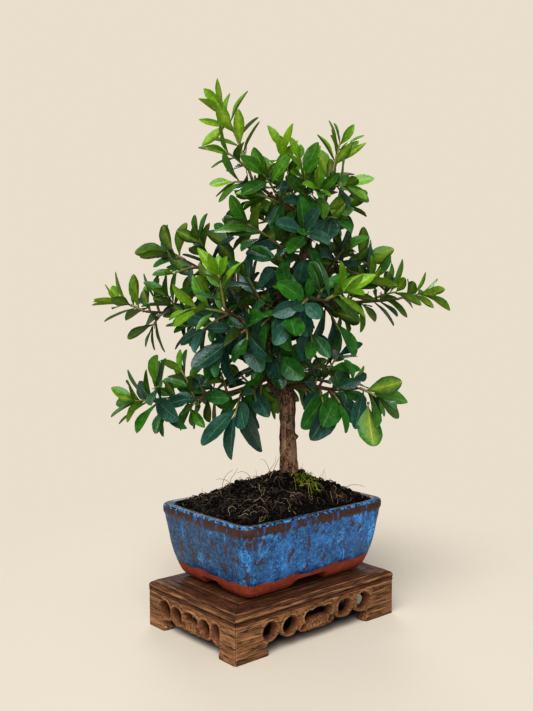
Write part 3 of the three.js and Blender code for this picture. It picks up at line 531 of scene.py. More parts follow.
def fibre_material():
    """Dry root fibres, each from near black to tan or green by its kind."""
    n = Material("Root fibre", Roughness=0.8)
    kind, colour = n.value("kind"), "0f0a07"
    for low, high, code in ((0.0, 0.5, "4a3726"), (0.45, 0.85, "a8956c"), (0.9, 0.95, "7f8f3a")):
        colour = n.mix(n.step(kind, low, high), colour, code)
    return n.set(Base_Color=n.tint(colour, "241a12", n.noise(3), 0.5), Normal=n.bump(n.noise(0.5), 0.4, 0.1))


def moss_material():
    """Fresh yellow-green moss, darker and browner towards the soil."""
    n = Material("Moss", Roughness=0.8, Specular_IOR_Level=0.15)
    colour = n.mix(n.patches(7.0, 0.5, 0.6, 2.0), n.mix(n.noise(4), "7d8f16", "b9bf2c"), "566a14")
    colour = n.mix(n.fall(n.value("tip"), 0.3, 0.95), colour, "20280a")
    return n.set(Base_Color=colour, Normal=n.bump(n.noise(0.8), 0.5, 0.2))


# Heights above the floor at which the glaze changes or the bare clay's painted shade towards the foot begins, and how
# far each line waves up and down
GLAZE = {"line": 49.3, "line_wave": 9.0, "thick": 5.0, "lip": 87.0, "lip_wave": 15.0, "edge": 92.6, "edge_wave": 2.2,
         "foot": (36.0, 40.5)}


def glaze_material():
    """Mottled blue glaze over brown clay: brown under the lip where the glaze ran thin, a painted highlight of bright
    blue with dark crazing along the rim's outer edge, painted shade that makes the left side darker and greyer (with a
    little more rust there), brown and pale blue patches drawn out downwards, black pinholes, and bare terracotta below
    a wavy line, darker towards the foot as painted shade."""
    n = Material("Blue glaze", Coat_Roughness=0.08, Specular_IOR_Level=0.15)
    tall, along = (n.times(n.axes()[axis], 1000.0) for axis in (2, 0))
    left = POT_AT[0] - POT["length"] / 2
    # painted shade on the left side: the glaze there is darker and greyer with fewer pale patches, and has a little
    # more rust
    left_shade_and_rust = n.fall(along, left - 4, left + 30)
    runs = n.noise(3.2, 4.0, 0.65, at=n.stretch(1, 1, 0.22))
    blue = n.mix(n.patches(11, 0.38, 0.62, 6.0, 0.72), "1f426e", "336fac")
    blue = n.tint(blue, "508fc4", n.patches(2.2, 0.48, 0.64, 5.0, 0.75), 0.7)
    blue = n.tint(blue, "0a1c3a", n.patches(1.5, 0.54, 0.62, 4.0, 0.7), 0.6)
    grey = n.mix(n.patches(2.5, 0.4, 0.6, 5.0, 0.7), "111c2c", "34546f")
    blue = n.tint(blue, grey, n.patches(22, 0.5, 0.66), 0.45)
    blue = n.tint(blue, grey, left_shade_and_rust, 0.8)
    pale = n.times(n.patches(8.5, 0.55, 0.66, 3.0, 0.6, 0.5, n.stretch(1, 1, 0.55)), n.patches(1.2, 0.36, 0.6))
    blue = n.tint(blue, "4a9cdc", n.times(pale, n.less(1.0, n.times(left_shade_and_rust, 0.5))), 0.95)
    rust = n.noise(6.0, 2.5, 0.55, 0.5, n.stretch(1, 1, 0.6))
    rust = n.step(n.plus(rust, n.times(left_shade_and_rust, 0.06)), 0.625, 0.65)
    colour = n.tint(blue, n.mix(n.noise(1.5), "241618", "583429"), rust, 0.85)
    speck = n.spread(FLECKS, 1.9, 0.24, 0.42)
    colour = n.tint(colour, "050812", speck, 0.9)
    colour = n.tint(colour, "7fbdf0", n.spread(FLECKS, 1.3, 0.16, 0.2), 0.5)
    lip = n.plus(GLAZE["lip"], n.times(n.less(runs, 0.5), GLAZE["lip_wave"]))
    brown = n.mix(n.noise(2.4, 5.0, 0.7), "1d1110", "54352a")
    brown = n.tint(brown, "2a5a96", n.step(runs, 0.57, 0.62), 0.85)
    colour = n.mix(n.step(n.less(tall, lip), -0.5, 0.5), colour, brown)
    cracks = n.times(n.step(n.cells(1.4), 0.24, 0.44), n.patches(3.0, 0.4, 0.5))
    # painted highlight: a bright blue band along the rim's outer edge, crossed by the glaze's dark crazing
    crazed_rim_highlight = n.mix(cracks, n.mix(n.noise(1.6, 4.0, 0.7), "174f88", "459fdc"), "0a0d14")
    edge = n.plus(GLAZE["edge"], n.times(n.noise(3.0), GLAZE["edge_wave"]))
    colour = n.mix(n.step(n.less(tall, edge), -0.15, 0.2), colour, crazed_rim_highlight)
    top = n.step(n.plus(n.value("rim"), n.times(n.noise(5.0, 4.0), 1.1)), 0.86, 1.0)
    top_brown = n.mix(n.patches(4.0, 0.4, 0.6, 4.0), "0f0a0a", "3e2a23")
    top_brown = n.tint(top_brown, "2c70b8", n.patches(5.0, 0.54, 0.6, 4.0, 0.6, 1.0), 0.8)
    colour = n.mix(top, colour, top_brown)
    above = n.less(tall, n.plus(GLAZE["line"], n.times(n.less(n.noise(22), 0.5), GLAZE["line_wave"])))
    bare = n.fall(above, -0.3, 0.3)
    thick = n.times(n.fall(above, 0.0, GLAZE["thick"]), n.patches(14, 0.35, 0.6, 2.0))
    colour = n.tint(colour, "0f2450", thick, 0.85)
    clay = n.mix(n.noise(5.0, 5.0, 0.65), "743322", "984a33")
    clay = n.tint(clay, "b9745a", n.patches(1.4, 0.58, 0.72), 0.5)
    # painted shade: the bare clay darkens towards the pot's foot
    clay = n.mix(n.step(tall, *GLAZE["foot"], 0.7, 0.0), clay, "4f2114")
    clay = n.tint(clay, "6a2c1c", n.spread(CLOUDS, 15, 0.45, 0.65), 0.5)
    relief = n.plus(n.plus(n.noise(2.2, 5.0, 0.7), n.times(speck, -0.8)), n.times(runs, 0.6))
    return n.set(Base_Color=n.mix(bare, colour, clay), Normal=n.bump(relief, 0.85, 0.8),
                 Roughness=n.plus(n.times(bare, 0.45), n.step(n.noise(6), 0.3, 0.7, 0.25, 0.4)),
                 Coat_Weight=n.less(0.22, n.times(bare, 0.22)))


def wood_material(name, along, tones):
    """Open-grained brown wood: fibres and bands as noise stretched along the board, dark pores and weathered lines,
    worn lighter edges, and red-brown varnish in the carved holes."""
    n = Material(name, Specular_IOR_Level=0.15)

    def grain(share, *noise):
        """Noise drawn out along the board, where its place is multiplied by a small share."""
        return n.noise(*noise, at=n.stretch(*(share if axis == along else 1.0 for axis in "xyz")))

    dark, light, streak, grey = tones
    fibres, inner = grain(0.05, 1.15, 5.0, 0.65, 0.3), n.value("inner")
    weathered = n.step(grain(0.05, 1.7, 4.0, 0.6, 0.5), 0.53, 0.6)
    pores = n.step(grain(0.07, 0.62, 2.0), 0.57, 0.64)
    colour = n.mix(n.step(grain(0.05, 9.0, 3.0, 0.5, 0.6), 0.35, 0.65), dark, light)
    colour = n.tint(colour, streak, n.step(fibres, 0.47, 0.62), 0.75)
    colour = n.tint(colour, grey, weathered, 0.6)
    colour = n.tint(colour, "170d07", pores, 0.85)
    colour = n.tint(colour, grey, n.spread(CLOUDS, 26, 0.4, 0.7), 0.3)
    worn = n.times(n.step(n.value("wear"), 0.3, 0.9), n.step(grain(0.07, 1.6, 4.0), 0.4, 0.6))
    colour = n.tint(colour, "a57a52", worn, 0.55)
    colour = n.tint(colour, n.mix(n.noise(3.0, 4.0), "2c170f", "7d4f36"), inner, 0.8)
    rough = n.plus(n.step(fibres, 0.3, 0.7, 0.4, 0.66), n.times(weathered, 0.15))
    relief = n.less(n.less(n.times(fibres, 0.7), n.times(pores, 0.6)), n.times(weathered, 0.5))
    return n.set(Base_Color=colour, Roughness=n.less(rough, n.times(inner, 0.2)), Normal=n.bump(relief, 0.8, 0.5))


def mesh_material():
    """Dark plastic mesh."""
    n = Material("Drain mesh plastic", Roughness=0.6)
    return n.set(Base_Color=n.mix(n.noise(2), "1f2221", "343937"), Normal=n.bump(n.cells(2.2), 0.5, 0.3))


# Curves and the rule that places leaves, as in the part's source
GOLDEN = math.radians(LEAF["golden_angle"])


def unit(v):
    return v / math.sqrt(v @ v)


class Curve:
    """A limb's or twig's middle line: its point for a share t is given by the kind of curve, and here by a share of
    its length."""

    def measure(self):
        """Lengths of 200 short chords, added up."""
        chords = self.point(np.linspace(0, 1, 201))
        steps = np.linalg.norm(np.diff(chords, axis=0), axis=1)
        self.lengths = np.concatenate([[0], np.cumsum(steps)])
        self.length = self.lengths[-1]

    def at_length(self, share):
        """The point at a share of the length, by the chord table."""
        t = np.interp(np.asarray(share) * self.length, self.lengths, np.linspace(0, 1, 201))
        return self.point(t)

    def tangent(self, t):
        """Direction between two points a ten-thousandth either side."""
        before, after = max(t - 1e-4, 0), min(t + 1e-4, 1)
        ends = self.point(np.array([before, after]))
        return unit(ends[1] - ends[0])


class Spline(Curve):
    """Smooth curve through points: between two points, a cubic whose slope at each is half the step from the point
    before it to the point after it."""

    def __init__(self, route):
        p = np.array(route, float)
        self.p = np.concatenate([[2 * p[0] - p[1]], p, [2 * p[-1] - p[-2]]])
        self.measure()

    def point(self, t):
        spans = len(self.p) - 3
        place = np.asarray(t, float) * spans
        k = np.minimum(place.astype(int), spans - 1)
        w = (place - k)[..., None]
        a, b, c, d = (self.p[k + i] for i in range(4))
        start, end = 0.5 * (c - a), 0.5 * (d - b)
        return b + start * w + (3 * (c - b) - 2 * start - end) * w**2 + (2 * (b - c) + start + end) * w**3


class Arch(Curve):
    """Quadratic curve from a start to an end, drawn towards a middle point."""

    def __init__(self, start, middle, end):
        self.start, self.middle, self.end = start, middle, end
        self.measure()

    def point(self, t):
        w = np.asarray(t, float)[..., None]
        return (1 - w) ** 2 * self.start + 2 * (1 - w) * w * self.middle + w**2 * self.end


def draws(seed, count):
    """Numbers from 0 to 1: each state is the last times 16807, modulo 2147483647, and the first four are skipped."""
    state = seed % 2147483646 + 1
    out = []
    for _ in range(4 + count):
        state = state * 16807 % 2147483647
        out.append(state / 2147483647)
    return out[4:]


limbs = {name: {"curve": Spline(route), "radii": radii} for name, (radii, route) in LIMBS.items()}
shoots = {}


def add_shoot(index, row, node=None):
    """A shoot from its row of the table: its twig arches up between its foot and its tip."""
    name, on, at, tip, leaves, size, youth, lift = row
    parent = limbs.get(on) or shoots[on]
    start, end = parent["curve"].at_length(at), np.array(tip, float)
    middle = (start + end) / 2
    middle[2] += TWIG["arch"] * np.linalg.norm(start - end)
    shoots[name] = {"index": index, "leaves": leaves, "size": size, "youth": youth, "lift": lift,
                    "curve": Arch(start, middle, end), "radii": TWIG["radii"],
                    "node": node or (name if on in limbs else parent["node"])}


for index, row in enumerate(SHOOTS):
    add_shoot(index, row)


def outline(share):
    """Half width of a blade whose widest half is 1, at a share of its length."""
    return np.sin(math.pi * np.minimum(share, 0.9999) ** 1.27) ** 0.6


def new_leaf(shoot, foot, axis, facing, **sizes):
    """A leaf along an axis, whose upper side is turned towards where it faces."""
    upper = unit(facing - axis * (facing @ axis))
    return {"shoot": shoot, "foot": foot, "axis": axis, "upper": upper, "across": np.cross(axis, upper), **sizes}


def leaf_pose(shoot, number, attempt):
    """Where a leaf sits and how it lies, by the golden angle and eight draws."""
    draw = draws(shoot["index"] * 7919 + number * 613 + attempt * 104729, 8)
    order = number / (shoot["leaves"] - 1)
    along = 0.2 + 0.76 * (1 - (1 - order) ** 1.4)
    foot, tangent = shoot["curve"].point(np.array(along)), shoot["curve"].tangent(along)
    sideways = unit(np.array([tangent[1], -tangent[0], 0]))
    upright = unit(np.cross(sideways, tangent))
    spread = 30 if attempt < 2 else 140
    azimuth = math.radians(number * LEAF["golden_angle"] + shoot["index"] * 47 + spread * (draw[0] - 0.5))
    lean = math.radians(68 - 44 * order**1.5 + 24 * (draw[1] - 0.5))
    round_stem = sideways * math.cos(azimuth) + upright * math.sin(azimuth)
    lift = np.array([0, 0, shoot["lift"] * (0.6 + 0.8 * draw[2])])
    axis = unit(tangent * math.cos(lean) + round_stem * math.sin(lean) + lift)
    outward = unit(np.array([foot[0], foot[1], 0]))
    facing = tangent * 0.4 + np.array([0, 0, 0.6]) + outward * (0.9 - min(shoot["lift"], 0))
    facing[:2] += 0.5 * (np.array(draw[3:5]) - 0.5)
    length = (1 if attempt < 6 else 0.72) * shoot["size"] * (0.82 + 0.36 * draw[5]) * (1 - 0.3 * order**4)
    half = length * (0.235 - 0.035 * shoot["youth"] + 0.04 * draw[6])
    bend = 0.03 + 0.16 * draw[7] * (1 - 0.5 * shoot["youth"])
    return new_leaf(shoot, foot, axis, facing, length=length, half=half, bend=bend, order=order)


def fold_at(half, share):
    return LEAF["fold"] * half * outline(share)


def blade_samples(leaf, start):
    """Points spread over a blade: nine rows by five columns."""
    along = np.linspace(start, 1, 9)[:, None, None]
    across = np.array([-1, -0.5, 0, 0.5, 1])[None, :, None]
    above = np.abs(across) * fold_at(leaf["half"], along) - leaf["bend"] * leaf["length"] * along**2
    points = (leaf["foot"] + leaf["axis"] * leaf["length"] * along
              + leaf["across"] * leaf["half"] * outline(along) * across + leaf["upper"] * above)
    return points.reshape(-1, 3)


def inside_blade(leaf, points, clearance, start):
    """Which points, with a clearance round them, are in the slab that holds a blade past a share of its length."""
    d = points - leaf["foot"]
    along = d @ leaf["axis"] / leaf["length"]
    share = np.clip(along, 0.02, 0.98)
    half = leaf["half"] * outline(share)
    thick = 0.5 * (LEAF["fold"] * half + LEAF["keel"])
    middle = thick - LEAF["keel"] - leaf["bend"] * leaf["length"] * along**2
    return ((along >= start) & (along <= 1 + clearance / leaf["length"])
            & (np.abs(d @ leaf["across"]) <= half + clearance)
            & (np.abs(d @ leaf["upper"] - middle) < thick + clearance))


def wood_points():
    """Points every 2 mm along all the wood, with its radius and its owner's number."""
    points, radii, owners = [], [], []
    for number, wood in enumerate([*limbs.values(), *shoots.values()]):
        count = math.ceil(wood["curve"].length / 2)
        share = np.arange(count + 1) / count
        points.append(wood["curve"].at_length(share))
        stations = np.linspace(0, 1, len(wood["radii"]))
        radii.append(np.interp(share, stations, wood["radii"]))
        owners.append(np.full(count + 1, number))
        wood["number"] = number
    return np.concatenate(points), np.concatenate(radii), np.concatenate(owners)


WOOD = wood_points()


def is_clear(leaf, placed):
    """Whether a leaf stays out of all the wood and of the leaves placed before it, and they out of it."""
    points, radii, owners = WOOD
    start = np.where(owners == leaf["shoot"]["number"], 0.4, 0.1)
    if inside_blade(leaf, points, radii + LEAF["clearance"], start).any():
        return False
    leaf["samples"] = blade_samples(leaf, LEAF["rooted"])
    wide = blade_samples(leaf, 0.08)
    for other in placed:
        reach = leaf["length"] + other["length"]
        gap = leaf["foot"] - other["foot"]
        if gap @ gap > reach * reach:
            continue
        sibling = other["shoot"] is leaf["shoot"]
        start, clearance = (LEAF["rooted"], 0.2) if sibling else (0.0, LEAF["clearance"])
        near = leaf["samples"] if sibling else wide
        if inside_blade(other, near, clearance, start).any():
            return False
        if inside_blade(leaf, other["samples"], clearance, start).any():
            return False
    return True


def hides_stem(leaf):
    """Whether a blade hangs in front of the bare stem."""
    x, y, z = blade_samples(leaf, 0).T
    beside = (x > STEM_VIEW["left"]) & (x < STEM_VIEW["right"])
    return (beside & (z < STEM_VIEW["top"]) & (y < STEM_VIEW["back"])).any()


def grow(names, placed, inner=False):
    """Leaves of the named shoots, each at the first of its poses that is clear."""
    for name in names:
        shoot = shoots[name]
        for number in range(shoot["leaves"]):
            for attempt in range(LEAF["tries"]):
                leaf = leaf_pose(shoot, number, attempt)
                if not (inner and hides_stem(leaf)) and is_clear(leaf, placed):
                    placed.append(leaf)
                    break
    return placed


# Turning from the tree's own axes to the part's
TURN = math.radians(TREE["turn"])
TURNED = np.array([[math.cos(TURN), -math.sin(TURN), 0], [math.sin(TURN), math.cos(TURN), 0], [0, 0, 1]])
TREE_AT = STAND_AT + np.array([*TREE["at"], 0])


def from_tree(points):
    return np.asarray(points) @ TURNED.T + TREE_AT


# A blade's rows along it, and the ring of points round it at each row: the upper side from edge to edge, then the
# middle of the underside
ALONG = np.array([0, 0.08, 0.19, 0.32, 0.46, 0.6, 0.74, 0.86, 0.94, 0.985, 1])[None, :, None]
ACROSS = np.array([-1, -0.5, 0, 0.5, 1, 0])[None, None, :]
BELOW = np.array([0, 0, 0, 0, 0, 1])[None, None, :]


def fine_width(narrow):
    """Half width of a real blade: a thin stalk, a wedge-shaped foot, widest past the middle, a blunt tip, and small
    rounded teeth along the edge."""
    power = 0.9 - 0.4 * ALONG + 0.3 * narrow
    body = np.sin(math.pi * np.minimum(ALONG, 0.99995) ** (1.3 - 0.12 * narrow)) ** power
    row = np.arange(ALONG.size)[None, :, None]
    return body * (1 + 0.02 * (-1.0) ** row * np.clip(6 * (ALONG - 0.25), 0, 1) * (ALONG < 0.9))


def leaf_points(leaves, seed):
    """Points of many blades at once. Across each row, the height is a fold that rises to the edges with a little
    wave, less a thickness that thins to nothing there. Each row is turned about the middle line by a twist that
    grows along the blade, and the middle line itself bends down and sweeps to one side by its run squared."""
    s, c, b = ALONG, ACROSS, BELOW
    get = lambda key: np.array([leaf[key] for leaf in leaves])[:, None, None]
    rng = np.random.default_rng(seed)
    length, half, bend = get("length"), get("half"), get("bend")
    shape = length.shape
    narrow = np.array([leaf["shoot"]["youth"] for leaf in leaves])[:, None, None]
    half = half * (1.02 - 0.2 * narrow) * rng.uniform(0.86, 1.06, shape)
    width = np.maximum(half * fine_width(narrow), 0.42 * (s < 0.5))
    width = np.where(s >= 1, 0.05, width)
    wave = 0.25 * np.sin(s * 9 + rng.uniform(0, 6, shape)) * np.abs(c) * np.minimum(width / 5, 1)
    fold = LEAF["fold"] * rng.uniform(0.5, 2.0, shape)
    rise = fold * width * np.abs(c) ** 0.9 + wave
    rib = 0.22 * bell(c, 0, 0.16)
    thick = np.minimum(0.38 * (1 - c**4), 0.5 * width) + 0.1 * (1 - s)
    high = rise - 0.15 * (c == 0) * (1 - b) - b * (thick + rib)
    twist = rng.uniform(-0.75, 0.75, shape) * s
    sweep = rng.uniform(-0.09, 0.09, shape) * length * s**2
    side = sweep + width * c * np.cos(twist) - high * np.sin(twist)
    up = width * c * np.sin(twist) + high * np.cos(twist) - bend * length * s**2
    return (get("foot") + get("axis") * (length * s)[..., None] + get("across") * side[..., None]
            + get("upper") * up[..., None])


def add_leaves(skin, leaves, seed):
    """Adds blades with their values for the leaf material."""
    points = leaf_points(leaves, seed)
    count, rows, columns = points.shape[:3]
    offsets = rows * columns * np.arange(count)[:, None, None]
    quads = grid_quads(rows, columns, True)[None] + offsets
    ends = np.concatenate([fan(np.arange(columns), flip=True), fan((rows - 1) * columns + np.arange(columns))])
    rng = np.random.default_rng(seed + 1)
    tone, sheen = rng.uniform(0, 1, count), rng.uniform(0, 1, count)
    youth = np.array([leaf["shoot"]["youth"] for leaf in leaves])
    order = np.array([leaf["order"] for leaf in leaves])
    height = np.array([leaf["foot"][2] for leaf in leaves])
    high = np.clip((height - YOUNGER["from"]) / YOUNGER["over"], 0, 1)
    young = youth * (0.45 + 0.75 * order) + 0.12 * rng.uniform(-1, 1, count)
    young = young + 0.35 * high * rng.uniform(0, 1, count)
    values = {"along": ALONG, "across": ACROSS, "under": BELOW, "sharp": np.abs(ACROSS) > 0.999}
    for key, value in (("tone", tone), ("sheen", sheen), ("young", np.clip(young, 0, 1))):
        values[key] = value[:, None, None]
    values = {key: np.broadcast_to(value, (count, rows, columns)).ravel() for key, value in values.items()}
    sharp = values.pop("sharp")
    skin.add(from_tree(points), quads, ends[None] + offsets, values=values, sharp=sharp)


def add_twig(skin, shoot):
    """A twig with a swelling at each leaf: radius falls along it and bulges a little every few millimetres."""
    share = np.linspace(0, 1, max(6, int(shoot["curve"].length / 1.6)))
    radius = np.interp(share, [0, 1], [1.15, 0.7]) * (1 + 0.13 * np.sin(share * shoot["leaves"] * 2 * math.pi))
    radius[-1] *= 0.4
    rings = along_path(shoot["curve"].at_length(share), radius, 8)
    age = np.repeat(np.clip(1.1 - share - 0.5 * shoot["youth"], 0, 1), 8)
    skin.loft(from_tree(rings), paint=1, values={"age": age})


LEAF_PAINT, TWIG_PAINT, BARK_PAINT = leaf_material(), twig_material(), bark_material()


def make_sprays(names, leaves, inner):
    """One piece for each node of the named shoots, with their twigs and leaves. An inner one stands for no node."""
    for node in dict.fromkeys(shoots[name]["node"] for name in names):
        own = [shoots[name] for name in names if shoots[name]["node"] == node]
        blades = [leaf for leaf in leaves if leaf["shoot"]["node"] == node]
        if blades:
            spray = Skin()
            add_leaves(spray, blades, own[0]["index"])
            for shoot in own:
                add_twig(spray, shoot)
            slot = "leaf_mature" if inner or own[0]["youth"] <= 0.45 else "leaf_young"
            spray.piece("leaves_" + node, [LEAF_PAINT, TWIG_PAINT], slot, [] if inner else ["spray_" + node])


placed_leaves = grow(list(shoots), [])
make_sprays(list(shoots), placed_leaves, False)


def add_spurs():
    """Short spurs all along each limb and the bare upper trunk, turned by the golden angle, where no leaf is."""
    names = []
    for limb, wood in limbs.items():
        curve = wood["curve"]
        start = SPUR["trunk_from"] * curve.length if limb == "trunk" else SPUR["first"]
        for run in np.arange(start, curve.length - SPUR["end_gap"], SPUR["spacing"]):
            index = SPUR["start_index"] + len(names)
            draw = draws(index * 311, 6)
            share = run / curve.length
            foot, ahead = curve.at_length(share), curve.tangent(share)
            sideways = unit(np.cross(ahead, [0, 0, 1]) + 1e-6)
            upright = np.cross(sideways, ahead)
            turn = index * GOLDEN
            way = unit(0.4 * ahead + sideways * math.cos(turn) + upright * math.sin(turn) + np.array([0, 0, 0.25]))
            tip = foot + way * (SPUR["least"] + SPUR["extra"] * draw[0])
            arch = Arch(foot, (foot + tip) / 2 + np.array([0, 0, 0.8]), tip)
            points = arch.at_length(np.linspace(0.3, 1, 8))
            if any(inside_blade(leaf, points, 1.2, 0.0).any() for leaf in placed_leaves
                   if np.linalg.norm(leaf["foot"] - foot) < SPUR["near"]):
                continue
            low, high = SPUR["size"]
            names.append(f"spur_{index}")
            shoots[names[-1]] = {
                "index": index, "leaves": SPUR["leaves"], "size": low + (high - low) * draw[1],
                "youth": 0.35 * draw[2],
                "lift": -0.5 * draw[3] if foot[2] < SPUR["hangs_below"] else 0.3 * (draw[3] - 0.5),
                "curve": arch, "radii": TWIG["radii"], "node": "inner_" + limb}
    return names


def add_outstanding():
    """A short stalk for each single leaf, on its shoot where the leaf comes nearest to its usual length."""
    for number, (on, tip, _, youth, _) in enumerate(OUTSTANDING):
        line = shoots[on]["curve"].point(np.linspace(0.05, 0.95, 60))
        far = np.abs(np.linalg.norm(line - tip, axis=1) - SINGLE["length"])
        foot = line[np.argmin(far)]
        end = foot + SINGLE["stalk"] * unit(np.array(tip) - foot)
        shoots[f"single_{number}"] = {
            "index": SINGLE["start_index"] + number, "leaves": 1, "youth": youth, "radii": (1, 0.7),
            "curve": Arch(foot, (foot + end) / 2, end), "node": "inner_single"}


def place_outstanding(placed):
    """The single leaves, each drawn nearer or farther at its tip, and rolled, until it is clear."""
    for number, (_, tip, half, _, face) in enumerate(OUTSTANDING):
        shoot = shoots[f"single_{number}"]
        foot = shoot["curve"].end
        for attempt in range(SINGLE["tries"]):
            away = 2.5 * ((attempt % 15 + 1) // 2) * (-1) ** attempt
            run = np.array(tip) + [0, away, 0] - foot
            roll = 0.3 * (attempt // 15)
            facing = np.array([roll * math.sin(2.4 * attempt), -face, roll * math.cos(2.4 * attempt)])
            leaf = new_leaf(shoot, foot, unit(run), facing, length=math.sqrt(run @ run), half=half, bend=0.05,
                            order=1.0)
            if leaf["length"] < SINGLE["longest"] and is_clear(leaf, placed):
                placed.append(leaf)
                break


for index, row in enumerate(INNER_SHOOTS):
    add_shoot(len(SHOOTS) + index, row, "inner_" + row[0])
add_outstanding()
inner_names = [row[0] for row in INNER_SHOOTS] + add_spurs()
WOOD = wood_points()
outer_count = len(placed_leaves)
place_outstanding(placed_leaves)
inner_leaves = grow(inner_names, placed_leaves, inner=True)[outer_count:]
make_sprays(inner_names + [f"single_{number}" for number in range(len(OUTSTANDING))], inner_leaves, True)


def add_limb(skin, name):
    """A limb or the trunk: rings whose radius has long furrows, lumps and a flare where it leaves its parent."""
    curve, radii = limbs[name]["curve"], limbs[name]["radii"]
    trunk = name == "trunk"
    sides = 56 if trunk else 16
    share = np.linspace(0, 1, int(curve.length / (0.8 if trunk else 1.6)))
    radius = np.interp(share, np.linspace(0, 1, len(radii)), radii) * (1 if trunk else 0.82)
    run = share * curve.length
    radius = radius * (1 + (0 if trunk else 0.35) * np.exp(-run / 6))
    radius[-1] *= 0.5
    rings = along_path(curve.at_length(share), radius, sides)
    centre = curve.at_length(share)[:, None]
    out = rows_norm(rings - centre)
    angle = np.arange(sides) * 2 * math.pi / sides
    lengthwise = np.stack(np.broadcast_arrays(9 * np.cos(angle), 9 * np.sin(angle), (run / 5)[:, None]), -1)
    furrow = layered_noise(lengthwise, 3.2, 3, 11)
    lump = layered_noise(rings, 11.0, 3, 5)
    deep = 0.13 if trunk else 0.08
    peel = np.clip(layered_noise(lengthwise + 40, 5.0, 2, 17) - 0.35, 0, 1)
    moved = rings + out * (radius[:, None] * (deep * furrow + 0.09 * lump + 0.25 * peel))[..., None]
    if trunk:
        roots = np.exp(-np.clip(centre[..., 2] - STEM["foot"], 0, 99) / 5) * (0.5 + 0.5 * np.cos(4 * angle + 1.0))
        beside = np.clip(out[..., 0] - 0.35 * out[..., 1], 0, 1) ** 14
        knot = bell(centre[..., 2], STEM["knot"], 1.7) * beside
        moved = moved + out * (0.9 * roots + 2.4 * knot)[..., None]
    skin.loft(from_tree(moved), values={"age": 1.0 if trunk else 0.2, "furrow": furrow.ravel()})


trunk_skin = Skin()
for limb_name in limbs:
    add_limb(trunk_skin, limb_name)
trunk_skin.piece("trunk_and_limbs", [BARK_PAINT], "bark", ["trunk"])


# Pot
def pot_outline(inset, arc=12, long_side=44, short_side=30):
    """A rounded rectangle's points, with straight sides that bow out a little in the middle."""
    half = np.array([POT["length"], POT["depth"]]) / 2 - inset
    corner = max(3.0, POT["corner"] - 0.25 * inset)
    arcs = []
    for quarter, sign in enumerate([(1, 1), (-1, 1), (-1, -1), (1, -1)]):
        angle = math.pi / 2 * (quarter + np.linspace(0, 1, arc))
        arcs.append(np.array(sign) * (half - corner) + corner * np.stack([np.cos(angle), np.sin(angle)], -1))
    rows = []
    for quarter in range(4):
        count = short_side if quarter % 2 else long_side
        share = np.arange(1, count)[:, None] / count
        rows += [arcs[quarter], arcs[quarter][-1] * (1 - share) + arcs[(quarter + 1) % 4][0] * share]
    p = np.concatenate(rows)
    x = p[:, 0] * (1 - POT["bow"] * (p[:, 1] / half[1]) ** 2)
    y = p[:, 1] * (1 - POT["bow"] * (p[:, 0] / half[0]) ** 2)
    return np.stack([x, y], -1)


POT_PROFILE = [  # inset from the rim's outline, height, and 1 on the rim's top
    (24.5, 0.0, 0), (18.5, 0.0, 0), (17.2, 0.5, 0), (14.0, 3.0, 0), (11.6, 6.0, 0), (10.2, 9.0, 0), (8.2, 14.5, 0),
    (6.4, 20.5, 0), (5.0, 27.0, 0), (3.7, 34.0, 0), (2.6, 41.0, 0), (1.7, 46.5, 0), (1.3, 49.5, 0), (0.9, 51.5, 0),
    (0.15, 53.2, 0), (0.0, 55.0, 0), (0.0, 57.2, 0), (0.4, 58.5, 0), (1.3, 59.2, 0.4), (3.6, 59.35, 1), (5.8, 59.1, 1),
    (6.8, 58.2, 1), (7.1, 56.5, 1), (7.6, 52.0, 1), (9.5, 38.0, 1), (16.0, 13.0, 1),
]


def arch_height(x, y):
    """How far the pot's foot is raised: full in the middle of each side's arch and falling to nothing beside it."""
    def opening(u, width):
        return np.clip((width / 2 + 0.5 - np.abs(u)) / FOOT["slope"], 0, 1)
    rise = np.maximum(opening(x, FOOT["arch_long"]), opening(y, FOOT["arch_short"]))
    return FOOT["lift"] * rise * rise * (3 - 2 * rise)


def make_pot():
    """The profile carried round the outline, its foot raised in arches, and the glaze's ripples as noise."""
    profile = np.array(POT_PROFILE)
    run = np.concatenate([[0], np.cumsum(np.linalg.norm(np.diff(profile[:, :2], axis=0), axis=1))])
    fine = np.unique(np.concatenate([run, np.arange(0, run[-1], 0.9)]))
    inset, z, rim = (np.interp(fine, run, profile[:, k]) for k in range(3))
    rings = np.stack([np.concatenate([pot_outline(i), np.full((len(pot_outline(i)), 1), h)], 1)
                      for i, h in zip(inset, z)])
    raised = np.maximum(rings[..., 2], arch_height(rings[..., 0], rings[..., 1]))
    rings[..., 2] = np.where(rings[..., 2] < FOOT["lift"], raised, rings[..., 2])
    out = np.gradient(rings, axis=1)
    out = rows_norm(np.stack([out[..., 1], -out[..., 0], np.zeros(out.shape[:2])], -1))
    wall = (np.clip((rings[..., 2] - 3) / 4, 0, 1) * (rim[:, None] < 0.5))[..., None]
    ripple = 0.28 * layered_noise(rings, 14, 2, 3) + 0.1 * layered_noise(rings * [1, 1, 0.4], 3, 2, 9)
    rings = rings + out * ripple[..., None] * wall * 0.8
    under = np.concatenate([pot_outline(POT_PROFILE[0][0]), np.full((rings.shape[1], 1), FOOT["lift"])], 1)
    rings = np.concatenate([under[None], rings])
    rim = np.concatenate([[0], rim])
    skin = Skin()
    skin.loft(rings + POT_AT, values={"rim": np.repeat(rim, rings.shape[1])})
    return skin.piece("glazed_pot", [glaze_material()], "glaze", ["pot"])


make_pot()

# Soil, with crumbs, bark flakes and root fibres
STEM_AT = TREE_AT[:2] - POT_AT[:2]


